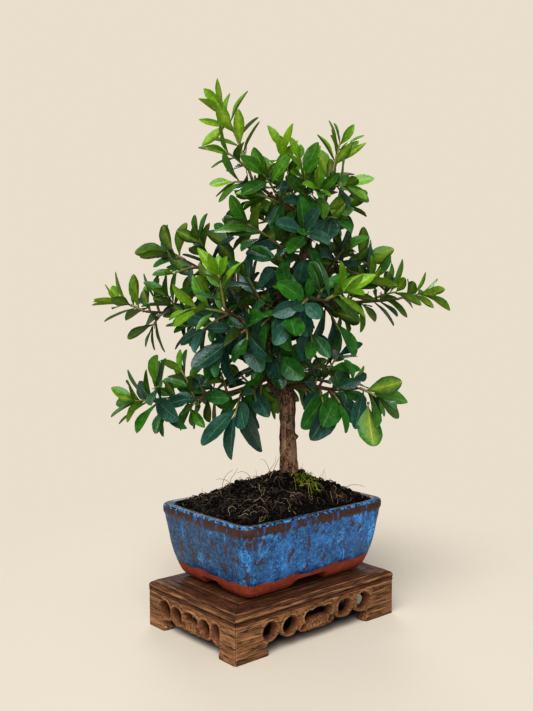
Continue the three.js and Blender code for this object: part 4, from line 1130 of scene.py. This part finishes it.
def soil_height(x, y):
    """Height of the mound: it rises from the pot's wall to the stem by a power of the share of the way, with lumps of
    three sizes as noise that is weaker beside the wall."""
    wall = pot_outline(POT["wall"] + 0.3)
    bearing = np.arctan2(wall[:, 1] - STEM_AT[1], wall[:, 0] - STEM_AT[0])
    order = np.argsort(bearing)
    reach = np.linalg.norm(wall - STEM_AT, axis=1)
    here = np.arctan2(y - STEM_AT[1], x - STEM_AT[0])
    edge = np.interp(here, bearing[order], reach[order], period=2 * math.pi)
    share = np.clip(np.hypot(x - STEM_AT[0], y - STEM_AT[1]) / edge, 0, 1)
    height = SOIL["edge"] + (SOIL["peak"] - SOIL["edge"]) * (1 - share) ** SOIL["fall"]
    here3 = np.stack([x, y, np.zeros_like(x)], -1)
    lumps = (1.4 * value_noise(here3, 13, 2) + 1.2 * value_noise(here3, 5.0, 4)
             + 1.0 * np.abs(layered_noise(here3, 2.6, 3, 6)))
    return height + lumps * np.clip((1 - share) * 8, 0.25, 1), share, edge


# The mound's columns, the crumbs drawn and kept, their radius, the share of brown ones, and the bare ring at the stem
CRUMBS = {"columns": 300, "drawn": 9000, "most": 4200, "least": 0.4, "extra": 1.9, "brown": 0.08, "bare": 9.5}


def lumps_at(centres, sizes, seed):
    """Rough crumbs: each a small ball of 14 corners, with every corner moved in or out at random."""
    rng = np.random.default_rng(seed)
    corners = rows_norm(np.array([(x, y, z) for x in (-1, 0, 1) for y in (-1, 0, 1) for z in (-1, 0, 1)
                                  if abs(x) + abs(y) + abs(z) in (1, 3)], float))
    faces = []
    for axis in range(3):
        for sign in (-1, 1):
            hub = int(np.argmin(np.linalg.norm(corners - sign * np.eye(3)[axis], axis=1)))
            square = [k for k in range(14) if 0.5 < sign * corners[k][axis] < 0.6]
            square.sort(key=lambda k: math.atan2(*np.delete(corners[k], axis)[::-1]))
            if sign * (-1) ** axis < 0:
                square.reverse()
            faces += [(hub, square[i], square[(i + 1) % 4]) for i in range(4)]
    count = len(centres)
    wobble = rng.uniform(0.7, 1.3, (count, 14, 1))
    stretch = rng.uniform(0.6, 1.3, (count, 1, 3))
    angle = rng.uniform(0, 2 * math.pi, count)
    spin = np.zeros((count, 3, 3))
    spin[:, 0, 0] = spin[:, 1, 1] = np.cos(angle)
    spin[:, 0, 1], spin[:, 1, 0], spin[:, 2, 2] = -np.sin(angle), np.sin(angle), 1
    shapes = np.einsum("nij,nkj->nki", spin, corners * wobble * stretch) * np.asarray(sizes)[:, None, None]
    tris = np.array(faces)[None] + 14 * np.arange(count)[:, None, None]
    return (shapes + np.asarray(centres)[:, None]).reshape(-1, 3), tris.reshape(-1, 3)


def make_soil():
    """Rings from the stem out to the wall on the mound's surface, then down the wall and closed below; crumbs
    scattered evenly on top."""
    bearing = np.linspace(0, 2 * math.pi, CRUMBS["columns"], endpoint=False)
    share = np.concatenate([[0.09], np.linspace(0.12, 1, 84)])
    direction = np.stack([np.cos(bearing), np.sin(bearing)], -1)
    _, _, edge = soil_height(STEM_AT[0] + direction[:, 0], STEM_AT[1] + direction[:, 1])
    flat = STEM_AT + direction[None] * (edge[None, :] * share[:, None])[..., None]
    height, _, _ = soil_height(flat[..., 0], flat[..., 1])
    top = np.concatenate([flat, height[..., None]], -1)
    wall = top[-1] * [1, 1, 0] + [0, 0, SOIL["edge"] - 12]
    floor = np.append(STEM_AT, 0) + 0.82 * (top[-1] - np.append(STEM_AT, 0))
    floor[:, 2] = POT["floor"] + 1.5
    skin = Skin()
    skin.loft(np.concatenate([top, wall[None], floor[None]])[::-1] + POT_AT, values={"kind": 0.0})
    rng = np.random.default_rng(31)
    x, y = rng.uniform(-70, 70, CRUMBS["drawn"]), rng.uniform(-48, 48, CRUMBS["drawn"])
    height, share, edge = soil_height(x, y)
    far = np.hypot(x - STEM_AT[0], y - STEM_AT[1])
    keep = (share < 0.975) & (far > CRUMBS["bare"])
    x, y, height = (values[keep][:CRUMBS["most"]] for values in (x, y, height))
    sizes = CRUMBS["least"] + CRUMBS["extra"] * rng.uniform(0, 1, len(x)) ** 3
    kind = (rng.uniform(0, 1, len(x)) < CRUMBS["brown"]).astype(float)
    points, tris = lumps_at(np.stack([x, y, height + 0.1], -1), sizes, 5)
    skin.add(points + POT_AT, tris=tris, values={"kind": np.repeat(kind, 14)})
    return skin.piece("compost", [soil_material()], "soil", ["soil"])


# Dry stems and hairs that stand clear of the soil, as points in the tree's frame: right, away, up
HAIRS = [
    [(-15, -14, 114), (-9, -13.5, 127), (-3, -12, 138), (3, -10.5, 147)],
    [(-54, 0, 100), (-53, 0, 108), (-50, -1, 114), (-45, -2, 118)],
    [(-47, 1, 101), (-47, 1, 109), (-44, 0, 114), (-41, 0, 119)],
    [(-45, 0, 102), (-49, 0, 108), (-55, 1, 110), (-59, 2, 109)],
    [(-14, -5, 112), (-16, -6, 120), (-19, -6, 126), (-23, -7, 128)],
    [(-17, -7, 112), (-15, -8, 119), (-11, -9, 125), (-10, -9, 131)],
    [(-30, -3, 108), (-32, -4, 114), (-37, -4, 117), (-42, -5, 116)],
    [(46, 8, 98), (50, 7, 103), (57, 6, 104), (63, 6, 102)],
]


FIBRES = {"count": 620, "one_stands_in": 45, "bare": 9}


def make_fibres():
    """Root fibres: hundreds of thin tubes along short curls that lie on the mound, most near black, some tan and a
    few green, and some long hairs that stand up."""
    rng = np.random.default_rng(77)
    skin = Skin()
    for number in range(FIBRES["count"]):
        x, y = rng.uniform(-66, 66), rng.uniform(-46, 46)
        heading, curl = rng.uniform(0, 2 * math.pi), rng.uniform(-0.3, 0.3)
        standing = number % FIBRES["one_stands_in"] == 0
        length = rng.uniform(9, 17) if standing else rng.uniform(4, 20)
        run = np.linspace(0, length, 9)
        angle = heading + curl * run + 0.4 * np.sin(run * rng.uniform(0.4, 1.0))
        flat = 0.45 if standing else 1.0
        step = flat * length / 8
        px, py = x + np.cumsum(np.cos(angle)) * step, y + np.cumsum(np.sin(angle)) * step
        height, share, _ = soil_height(px, py)
        kind = float(rng.uniform()) ** 1.5
        if share.max() > 0.97 or np.hypot(px - STEM_AT[0], py - STEM_AT[1]).min() < FIBRES["bare"]:
            continue
        arch = np.sin(math.pi * run / length) ** 2 * rng.uniform(0.4, 3.0)
        lift = 0.4 + (0.8 * run if standing else arch)
        height = height[0] if standing else height
        kind = kind * 0.92 if kind < 0.96 or standing else 1.0
        radius = np.full(9, 0.12 if standing else rng.uniform(0.1, 0.3 - 0.12 * kind))
        radius[[0, -1]] *= 0.4
        rings = along_path(np.stack([px, py, height + lift], -1), radius, 4)
        skin.loft(rings + POT_AT, values={"kind": kind})
    for route in HAIRS:
        rings = along_path(Spline(route).at_length(np.linspace(0, 1, 14)), np.linspace(0.3, 0.12, 14), 5)
        skin.loft(from_tree(rings), values={"kind": 0.8})
    return skin.piece("root_fibres", [fibre_material()], "soil")


MOSS_STRANDS, MOSS_HAIRS = 38, 14  # strands, and hairs on each of them


def make_moss():
    """Feathery moss: arching strands that spread from a patch beside the stem, lying down the slope, each with
    fine side hairs along it. Every third strand grows close round the foot of the stem."""
    rng = np.random.default_rng(8)
    skin = Skin()
    centre = STEM_AT + np.array(MOSS["at"])
    for number in range(MOSS_STRANDS):
        angle = number * GOLDEN
        share = math.sqrt((number + 0.5) / MOSS_STRANDS)
        foot = centre + MOSS["radius"] * 0.55 * share * np.array([math.cos(angle), math.sin(angle)])
        outward = np.array([math.cos(angle), math.sin(angle)]) * rng.uniform(3, 10) * (0.4 + 0.6 * share)
        outward = outward + np.array([-0.45, -0.85]) * rng.uniform(0, 13)
        if number % 3 == 0:
            bearing = math.radians(rng.uniform(-110, -30))
            foot = STEM_AT + rng.uniform(9, 12) * np.array([math.cos(bearing), math.sin(bearing)])
        t = np.linspace(0, 1, 9)
        x, y = foot[0] + outward[0] * t, foot[1] + outward[1] * t
        ground, _, _ = soil_height(x, y)
        tall = rng.uniform(1.5, 6.5) * (1.15 - 0.6 * share)
        path = np.stack([x, y, ground + 0.2 + tall * np.sin(t * rng.uniform(1.6, 2.6))], -1)
        rings = along_path(path, np.interp(t, [0, 1], [0.26, 0.12]), 3)
        skin.loft(rings + POT_AT, values={"tip": np.repeat(0.25 + 0.6 * t, 3)})
        for hair in range(MOSS_HAIRS):
            at = 0.15 + 0.85 * hair / MOSS_HAIRS
            start = np.array([np.interp(at, t, path[:, k]) for k in range(3)])
            way = rng.normal(size=3) + np.array([*outward, 0]) * 0.12
            side = start + unit(way) * np.linspace(0, rng.uniform(1.2, 3.0), 3)[:, None]
            thread = along_path(side, [0.13, 0.11, 0.05], 3)
            skin.loft(thread + POT_AT, values={"tip": float(rng.uniform(0.3, 1))})
    return skin.piece("moss", [moss_material()], "moss", ["moss_tuft"], smooth=False)


make_soil()
make_fibres()
make_moss()

# Stand
WOODS = {
    "x": wood_material("Stand wood along x", "x", ("6b4830", "7d573b", "a07850", "33200f")),
    "y": wood_material("Stand wood along y", "y", ("6b4830", "7d573b", "a07850", "33200f")),
    "top_x": wood_material("Top wood along x", "x", ("43291b", "563624", "6c4730", "1f120c")),
    "top_y": wood_material("Top wood along y", "y", ("43291b", "563624", "6c4730", "1f120c")),
}
CARVING = {"cell": 0.75, "rim": 3.0, "small_rim": 2.1, "band": 15.0, "rib": 3.3, "ribs_to": 12.5, "low": 6.9,
           "ankle": (6.2, 2.3), "toe": (1.5, 1.6), "layers": 7}

# Pierced holes: centre along the board and up, half width and height, squareness
HOLES = {
    "long": [
        (-49.5, 17.4, 7.2, 6.4, 2.3), (-29, 16.8, 7.6, 6.6, 1.75), (-9.5, 18.6, 5.2, 4.2, 2), (0, 19.7, 8, 4.1, 2.5),
        (9, 19.3, 5, 4, 2), (27.8, 17.4, 7.2, 6, 2.8), (48.5, 17.6, 7.2, 6.6, 2.1), (-15.4, 11.6, 2.3, 2, 2),
        (13.4, 12, 2.3, 2.1, 2),
    ],
    "short": [
        (-33.4, 17, 6.6, 6.8, 2.2), (-18.4, 16, 6.6, 6.3, 2), (-0.5, 18.6, 8.8, 3.9, 2.4), (17, 16.4, 6.2, 6.2, 2.1),
        (30.8, 16.8, 5.2, 6.8, 2.1), (-9.6, 11.2, 2.3, 2, 2), (7.4, 11.4, 2.1, 2.2, 2),
    ],
}
UNDERSIDE = STAND["height"] - SLAB["thickness"]


def hole_distances(x, z, holes):
    """Distance outside each hole's edge: (q - 1) over the slope of q, where q to the power of the squareness is the
    sum of the shares of the half width and half height to that power."""
    out = []
    for along, up, wide, tall, power in holes:
        u, v = np.abs(x - along) / wide + 1e-9, np.abs(z - up) / tall + 1e-9
        q = (u**power + v**power) ** (1 / power)
        slope = q ** (1 - power) * np.hypot(u ** (power - 1) / wide, v ** (power - 1) / tall)
        out.append((q - 1) / slope)
    return np.stack(out)


def board_shape(x, z, kind, half, leg):
    """Distances into the wood from the holes' edges and from the outline below: legs with a toe, the band above,
    the round rims of the holes, and the ribbed middle."""
    holes = hole_distances(x, z, HOLES[kind])
    ripple = 0.45 * np.cos(2 * math.pi * x / CARVING["rib"]) * (np.abs(x) < CARVING["ribs_to"])
    holes[2:5 if kind == "long" else 3] += np.where(z < 18.5, ripple, 0)
    small = np.array([hole[2] < 3 for hole in HOLES[kind]])[:, None, None]
    rims = np.where(small, CARVING["small_rim"], CARVING["rim"]) - holes
    inner = half - leg + 2.6 * bell(z, *CARVING["ankle"]) - 1.2 * bell(z, *CARVING["toe"])
    middle = np.minimum(z - CARVING["low"] - ripple, CARVING["ribs_to"] + 1 - np.abs(x))
    parts = [np.abs(x) - inner, z - CARVING["band"], rims.max(0), middle]
    soft = 1.6
    outline = np.log(sum(np.exp(np.clip(part * soft, -30, 30)) for part in parts)) / soft - 0.25
    return holes.min(0), outline


def slopes(measure, x, z, step=0.05):
    """Slopes of a measure along x and along z, between points a step either side."""
    return ((measure(x + step, z) - measure(x - step, z)) / (2 * step),
            (measure(x, z + step) - measure(x, z - step)) / (2 * step))


def board_front(x, z, hole, outline, half, leg):
    """How far the carved face lies behind the board's flat face: round rims beside the holes with a groove outside
    them, ribs under the middle, rounded lower edges, and small tool marks."""
    rim = CARVING["rim"]
    share = np.clip(np.abs(hole / rim - 0.5) / 0.5, 0, 1)
    ring = 0.3 + 1.5 * (1 - np.sqrt(np.maximum(1 - share**2, 0.09)))
    beyond = 1.35 * np.exp(-np.clip(hole - rim, 0, 9) / 0.9)
    carved = np.where(hole < rim, ring, beyond)
    between = np.clip((half - leg + 2 - np.abs(x)) / 2, 0, 1)
    carved = carved * between + 0.8 * between * np.clip((CARVING["band"] - z) / 3, 0, 1)
    ribbed = (np.abs(x) < CARVING["ribs_to"]) * np.clip((15.5 - z) / 1.5, 0, 1)
    carved = carved + ribbed * 0.75 * (0.5 - 0.5 * np.cos(2 * math.pi * x / CARVING["rib"]))
    round_low = 0.5 + 1.8 * between * np.clip((20 - z) / 6, 0, 1)
    edge = np.clip(1 - outline / round_low, 0, 1)
    carved = carved + round_low * (1 - np.sqrt(1 - 0.96 * edge**2))
    end = np.clip(1 - (half - np.abs(x)) / 0.7, 0, 1)
    at = np.stack([x, z, np.zeros_like(x)], -1)
    marks = 0.16 * layered_noise(at, 2.6, 2, 21) * between + 0.1 * layered_noise(at * [0.12, 1, 1], 1.3, 2, 4)
    return carved + 0.4 * end**2 + np.maximum(marks + 0.1, 0)


def to_side(points, across, turn):
    """Points of a front board or rail moved out to its side of the stand and turned with it."""
    angle = math.radians(turn)
    spin = np.array([[math.cos(angle), math.sin(angle), 0], [-math.sin(angle), math.cos(angle), 0], [0, 0, 1]])
    return (points + [0, -across / 2, 0]) @ spin + STAND_AT


def add_board(skin, kind, length, across, leg, turn):
    """One carved board: a fine grid whose cells in the wood are kept, its corners drawn to the edge, then the face,
    the back and the walls between them, and the ends drawn in to the mitre."""
    half, cell = length / 2, CARVING["cell"]
    columns, rows = int(round(length / cell)) + 1, int(round(UNDERSIDE / cell)) + 1
    x, z = np.meshgrid(np.linspace(-half, half, columns), np.linspace(0, UNDERSIDE, rows), indexing="ij")
    centre_x, centre_z = (x[1:, 1:] + x[:-1, :-1]) / 2, (z[1:, 1:] + z[:-1, :-1]) / 2
    shape = lambda a, b: board_shape(a, b, kind, half, leg)
    solid = lambda a, b: np.minimum(*shape(a, b))
    keep = solid(centre_x, centre_z) > 0
    fixed_x, fixed_z = np.abs(x) > half - 1e-6, (z < 1e-6) | (z > UNDERSIDE - 1e-6)
    near = np.abs(solid(x, z)) < 0.4 * cell
    for _ in range(3):
        depth = solid(x, z)
        slope_x, slope_z = slopes(solid, x, z)
        move = np.where(near | (depth < 0), depth / np.maximum(slope_x**2 + slope_z**2, 0.3), 0)
        move = np.clip(move, -cell, cell)
        x = np.where(fixed_x, x, x - move * slope_x)
        z = np.where(fixed_z, z, np.clip(z - move * slope_z, 0.02, UNDERSIDE - 0.02))
    hole, outline = shape(x, z)
    front = board_front(x, z, hole, outline, half, leg)
    number = np.arange(columns * rows).reshape(columns, rows)
    quads = np.stack([number[:-1, :-1], number[1:, :-1], number[1:, 1:], number[:-1, 1:]], -1)[keep]
    layers, total = CARVING["layers"], number.size
    edges = np.concatenate([quads[:, [k, (k + 1) % 4]] for k in range(4)])
    border = edges[~np.isin(edges @ [total, 1], edges @ [1, total])]
    shares = np.linspace(0, 1, layers)[:, None]
    flat_x, flat_z, flat_front = x.ravel(), z.ravel(), front.ravel()
    nearest = hole.ravel()
    grad_x, grad_z = slopes(lambda a, b: shape(a, b)[0], x, z)
    squeeze = 0.9 * np.sin(math.pi * shares**0.8) * (nearest < 0.6)[None]
    y = flat_front * (1 - shares) + APRON["thickness"] * shares
    wobble = 0.18 * layered_noise(np.stack(np.broadcast_arrays(flat_x, flat_z, y), -1), 2.2, 2, 8) * np.sin(
        math.pi * shares) * (nearest < 0.6)[None]
    px = flat_x - (squeeze + wobble) * grad_x.ravel()
    pz = flat_z - (squeeze + wobble) * grad_z.ravel()
    reach = 14.0
    slack = SLAB["gap"] * math.sqrt(0.5)
    outer = np.abs(px) - (half - reach)
    px = np.where(outer > 0, np.sign(px) * (half - reach + outer * (reach - y - slack) / reach), px)
    points = np.stack([px, y, pz], -1).reshape(-1, 3)
    back = quads[:, ::-1] + (layers - 1) * total
    step_up = total * np.arange(layers - 1)[:, None]
    a, b = border[:, 0], border[:, 1]
    walls = np.stack([b + step_up, a + step_up, a + step_up + total, b + step_up + total], -1).reshape(-1, 4)
    faces = np.concatenate([quads, back, walls])
    used, renumbered = np.unique(faces, return_inverse=True)
    faces = renumbered.reshape(-1, 4)
    inside = np.broadcast_to(shares, (layers, total)) > 0.01
    inner = np.where(inside, np.clip(1.2 - nearest / 0.8, 0, 1)[None], np.clip(0.9 - nearest / 1.6, 0, 1)[None])
    edge_wear = np.exp(-np.clip(np.minimum(outline.ravel(), half - np.abs(flat_x)), 0, 9) / 0.9)
    wear = np.where(inside, 0, np.maximum(edge_wear, bell(nearest, 1.5, 0.7))[None])
    values = {"inner": inner.ravel()[used], "wear": wear.ravel()[used]}
    skin.add(to_side(points[used], across, turn), faces, values=values)


RAIL_PROFILE = [  # inward from the stand's edge, and up from the rail's underside
    (0.6, 0.0), (0.2, 0.35), (0.0, 0.95), (0.2, 1.6), (0.8, 2.0), (1.5, 2.25), (1.1, 2.6), (0.4, 2.95), (0.05, 3.6),
    (0.0, 4.3), (0.25, 5.1), (0.75, 5.9), (1.4, 6.5), (2.1, 6.9), (2.9, 7.1), (3.15, 7.45), (3.7, 7.85), (4.5, 8.0),
    (6.0, 7.95), (8.5, 8.0), (12.0, 8.0), (16.0, 8.0), (19.4, 8.0), (19.8, 7.85), (20.0, 7.5), (20.0, 5.0),
    (20.0, 2.8), (23.0, 2.8), (23.0, 0.0), (12.0, 0.0),
]


def add_rail(skin, length, across, turn):
    """One moulded rail: its profile carried along, drawn in to the mitres at both ends, a little worn."""
    profile = np.array(RAIL_PROFILE)
    share = np.linspace(-1, 1, 110)[:, None]
    reach = length / 2 - profile[:, 0] - SLAB["gap"] * math.sqrt(0.5)
    x = share * reach
    y = np.broadcast_to(profile[:, 0], x.shape)
    z = np.broadcast_to(profile[:, 1] + UNDERSIDE, x.shape)
    at = np.stack([x, y * 1.0, z], -1)
    outer = np.clip((6 - y) / 5, 0, 1)
    worn = 0.13 * layered_noise(at * [0.35, 1, 1], 3.0, 3, 12) * outer
    y = y + np.maximum(worn + 0.1, 0) * (z > UNDERSIDE + 0.2)
    z = z - np.abs(0.1 * layered_noise(at * [0.3, 1, 1], 4.0, 2, 5)) * (profile[:, 1] > 6.5)
    wear = bell(profile[:, 0], 0.2, 0.5) * (profile[:, 1] > 3) + bell(profile[:, 0], 3.5, 0.6)
    rings = to_side(np.stack([x, y, z], -1)[::-1], across, turn)
    skin.loft(rings, values={"wear": np.tile(wear, len(share)), "inner": 0.0})


def make_panel():
    """The loose panel: a thin block whose upper edges are eased."""
    inset = SLAB["rail"] + SLAB["gap"]
    half = np.array([STAND["length"], STAND["depth"]]) / 2 - inset
    top, thick = STAND["height"], SLAB["thickness"] - 2.8
    rings = []
    for ease, height in ((0.2, -thick), (0.0, 0.2 - thick), (0.0, -0.7), (0.12, -0.3), (0.4, -0.08), (0.9, 0.0)):
        sides = [np.linspace(0, 1, 40, endpoint=False)[:, None] * (np.array(b) - a) + a
                 for a, b in ((np.array([-1, -1]), [1, -1]), (np.array([1, -1]), [1, 1]),
                              (np.array([1, 1]), [-1, 1]), (np.array([-1, 1]), [-1, -1]))]
        flat = np.concatenate(sides) * (half - ease)
        rings.append(np.concatenate([flat, np.full((len(flat), 1), top + height)], 1))
    skin = Skin()
    wear = np.repeat([0, 0, 0.3, 0.8, 0.5, 0], 160)
    skin.loft(np.stack(rings) + STAND_AT, values={"wear": wear, "inner": 0.0})
    skin.piece("top_panel", [WOODS["top_x"]], "stand_wood", ["stand_panel"])


for side, turn, length, across, leg, kind in (
        ("front", 0, STAND["length"], STAND["depth"], APRON["leg_long"], "long"),
        ("right", 90, STAND["depth"], STAND["length"], APRON["leg_short"], "short"),
        ("back", 180, STAND["length"], STAND["depth"], APRON["leg_long"], "long"),
        ("left", 270, STAND["depth"], STAND["length"], APRON["leg_short"], "short")):
    along = "x" if kind == "long" else "y"
    board, rail = Skin(), Skin()
    add_board(board, kind, length, across, leg, turn)
    board.piece("carved_board_" + side, [WOODS[along]], "stand_wood", ["stand_apron_" + side])
    add_rail(rail, length, across, turn)
    rail.piece("top_rail_" + side, [WOODS["top_" + along]], "stand_wood", ["stand_rail_" + side])
make_panel()
for node in ("drain_mesh_1", "drain_mesh_2"):
    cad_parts[node].data.materials.clear()
    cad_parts[node].data.materials.append(mesh_material())


# Floor, light and camera: the shade's insets from the stand's edge in millimetres, the rest in metres
FLOOR = {"radius": 5, "shade": (22, 4), "fade": (0.13, 0.42)}
LIGHTS_AIM = (0, 0, 0.2)


def make_floor():
    """A pale disc that fades out into the backdrop far from the object, with painted shade that darkens it under the
    stand.
    """
    bpy.ops.mesh.primitive_circle_add(vertices=96, radius=FLOOR["radius"], fill_type="TRIFAN", location=(0, 0, 0))
    floor = bpy.context.object
    floor.name = "floor"
    n = Material("Pale floor", Roughness=0.9, Specular_IOR_Level=0.1)
    # painted shade: the floor's colour is darkened within the stand's footprint, fading out a few millimetres inside
    # its edge
    under = 1.0
    for axis, size in enumerate((STAND["length"], STAND["depth"])):
        off = n.maths("ABSOLUTE", n.less(n.axes()[axis], STAND_AT[axis] * MM))
        under = n.times(under, n.fall(off, *((size / 2 - inset) * MM for inset in FLOOR["shade"])))
    pale = n.mix(n.noise(400), "bfb6aa", "c2baae")
    far = n.add("ShaderNodeVectorMath", {0: n.at}, operation="LENGTH").outputs["Value"]
    n.set(Base_Color=n.tint(pale, "2a1e16", under, 0.96), Alpha=n.fall(far, *FLOOR["fade"]))
    floor.data.materials.append(n.made)


def add_light(name, kind, way, energy, colour, **settings):
    """A light that shines from its way: a sun's direction, or how far an area light stands from its aim."""
    light = bpy.data.lights.new(name, kind)
    light.energy, light.color = energy, colour
    for key, value in settings.items():
        setattr(light, key, value)
    thing = bpy.data.objects.new(name, light)
    if kind == "AREA":
        thing.location = Vector(way) + Vector(LIGHTS_AIM)
    thing.rotation_euler = Vector(way).to_track_quat("Z", "Y").to_euler()
    bpy.context.scene.collection.objects.link(thing)


def make_world():
    """The camera sees a flat pale backdrop, and the object gets a softer share of it as light."""
    world = bpy.data.worlds.new("Backdrop")
    bpy.context.scene.world = world
    world.use_nodes = True
    n = Nodes(world.node_tree)
    world.node_tree.nodes.clear()
    seen = n.add("ShaderNodeBackground", {"Color": "d9cfc0", "Strength": 1.0})
    given = n.add("ShaderNodeBackground", {"Color": (1.0, 0.97, 0.93, 1), "Strength": 0.37})
    path = n.add("ShaderNodeLightPath")
    mixed = n.add("ShaderNodeMixShader", {0: path.outputs["Is Camera Ray"], 1: given.outputs[0],
                                          2: seen.outputs[0]})
    n.add("ShaderNodeOutputWorld", {"Surface": mixed.outputs[0]})


def make_camera():
    """The photograph's viewpoint: named sizes in the stand's frame, and the angles of its view."""
    place = STAND_AT + np.array([-465.3, -533.0, 264.0])
    bearing, dip, focal_px, photo_height_px, sensor_mm = 49.3, -4.2, 900, 711, 36
    camera = bpy.data.cameras.new("camera")
    camera.sensor_fit = "VERTICAL"
    camera.sensor_height = sensor_mm
    camera.lens = focal_px / photo_height_px * sensor_mm
    camera.clip_end = 50
    thing = bpy.data.objects.new("camera", camera)
    thing.location = place * MM
    thing.rotation_euler = (math.radians(90 + dip), 0, math.radians(bearing - 90))
    bpy.context.scene.collection.objects.link(thing)
    bpy.context.scene.camera = thing


make_floor()
make_world()
make_camera()
add_light("key", "SUN", (-0.62, -0.34, 0.9), 2.8, (1.0, 0.985, 0.95), angle=math.radians(38))
add_light("soft box", "AREA", (-1.0, -1.2, 0.4), 16, (0.95, 0.98, 1.0), shape="DISK", size=1.0)
add_light("back", "AREA", (0.9, 1.3, 1.0), 10, (0.95, 0.98, 1.0), shape="DISK", size=0.9)
bpy.context.scene.view_settings.view_transform = "Standard"
bpy.context.scene.view_settings.look = "Medium High Contrast"
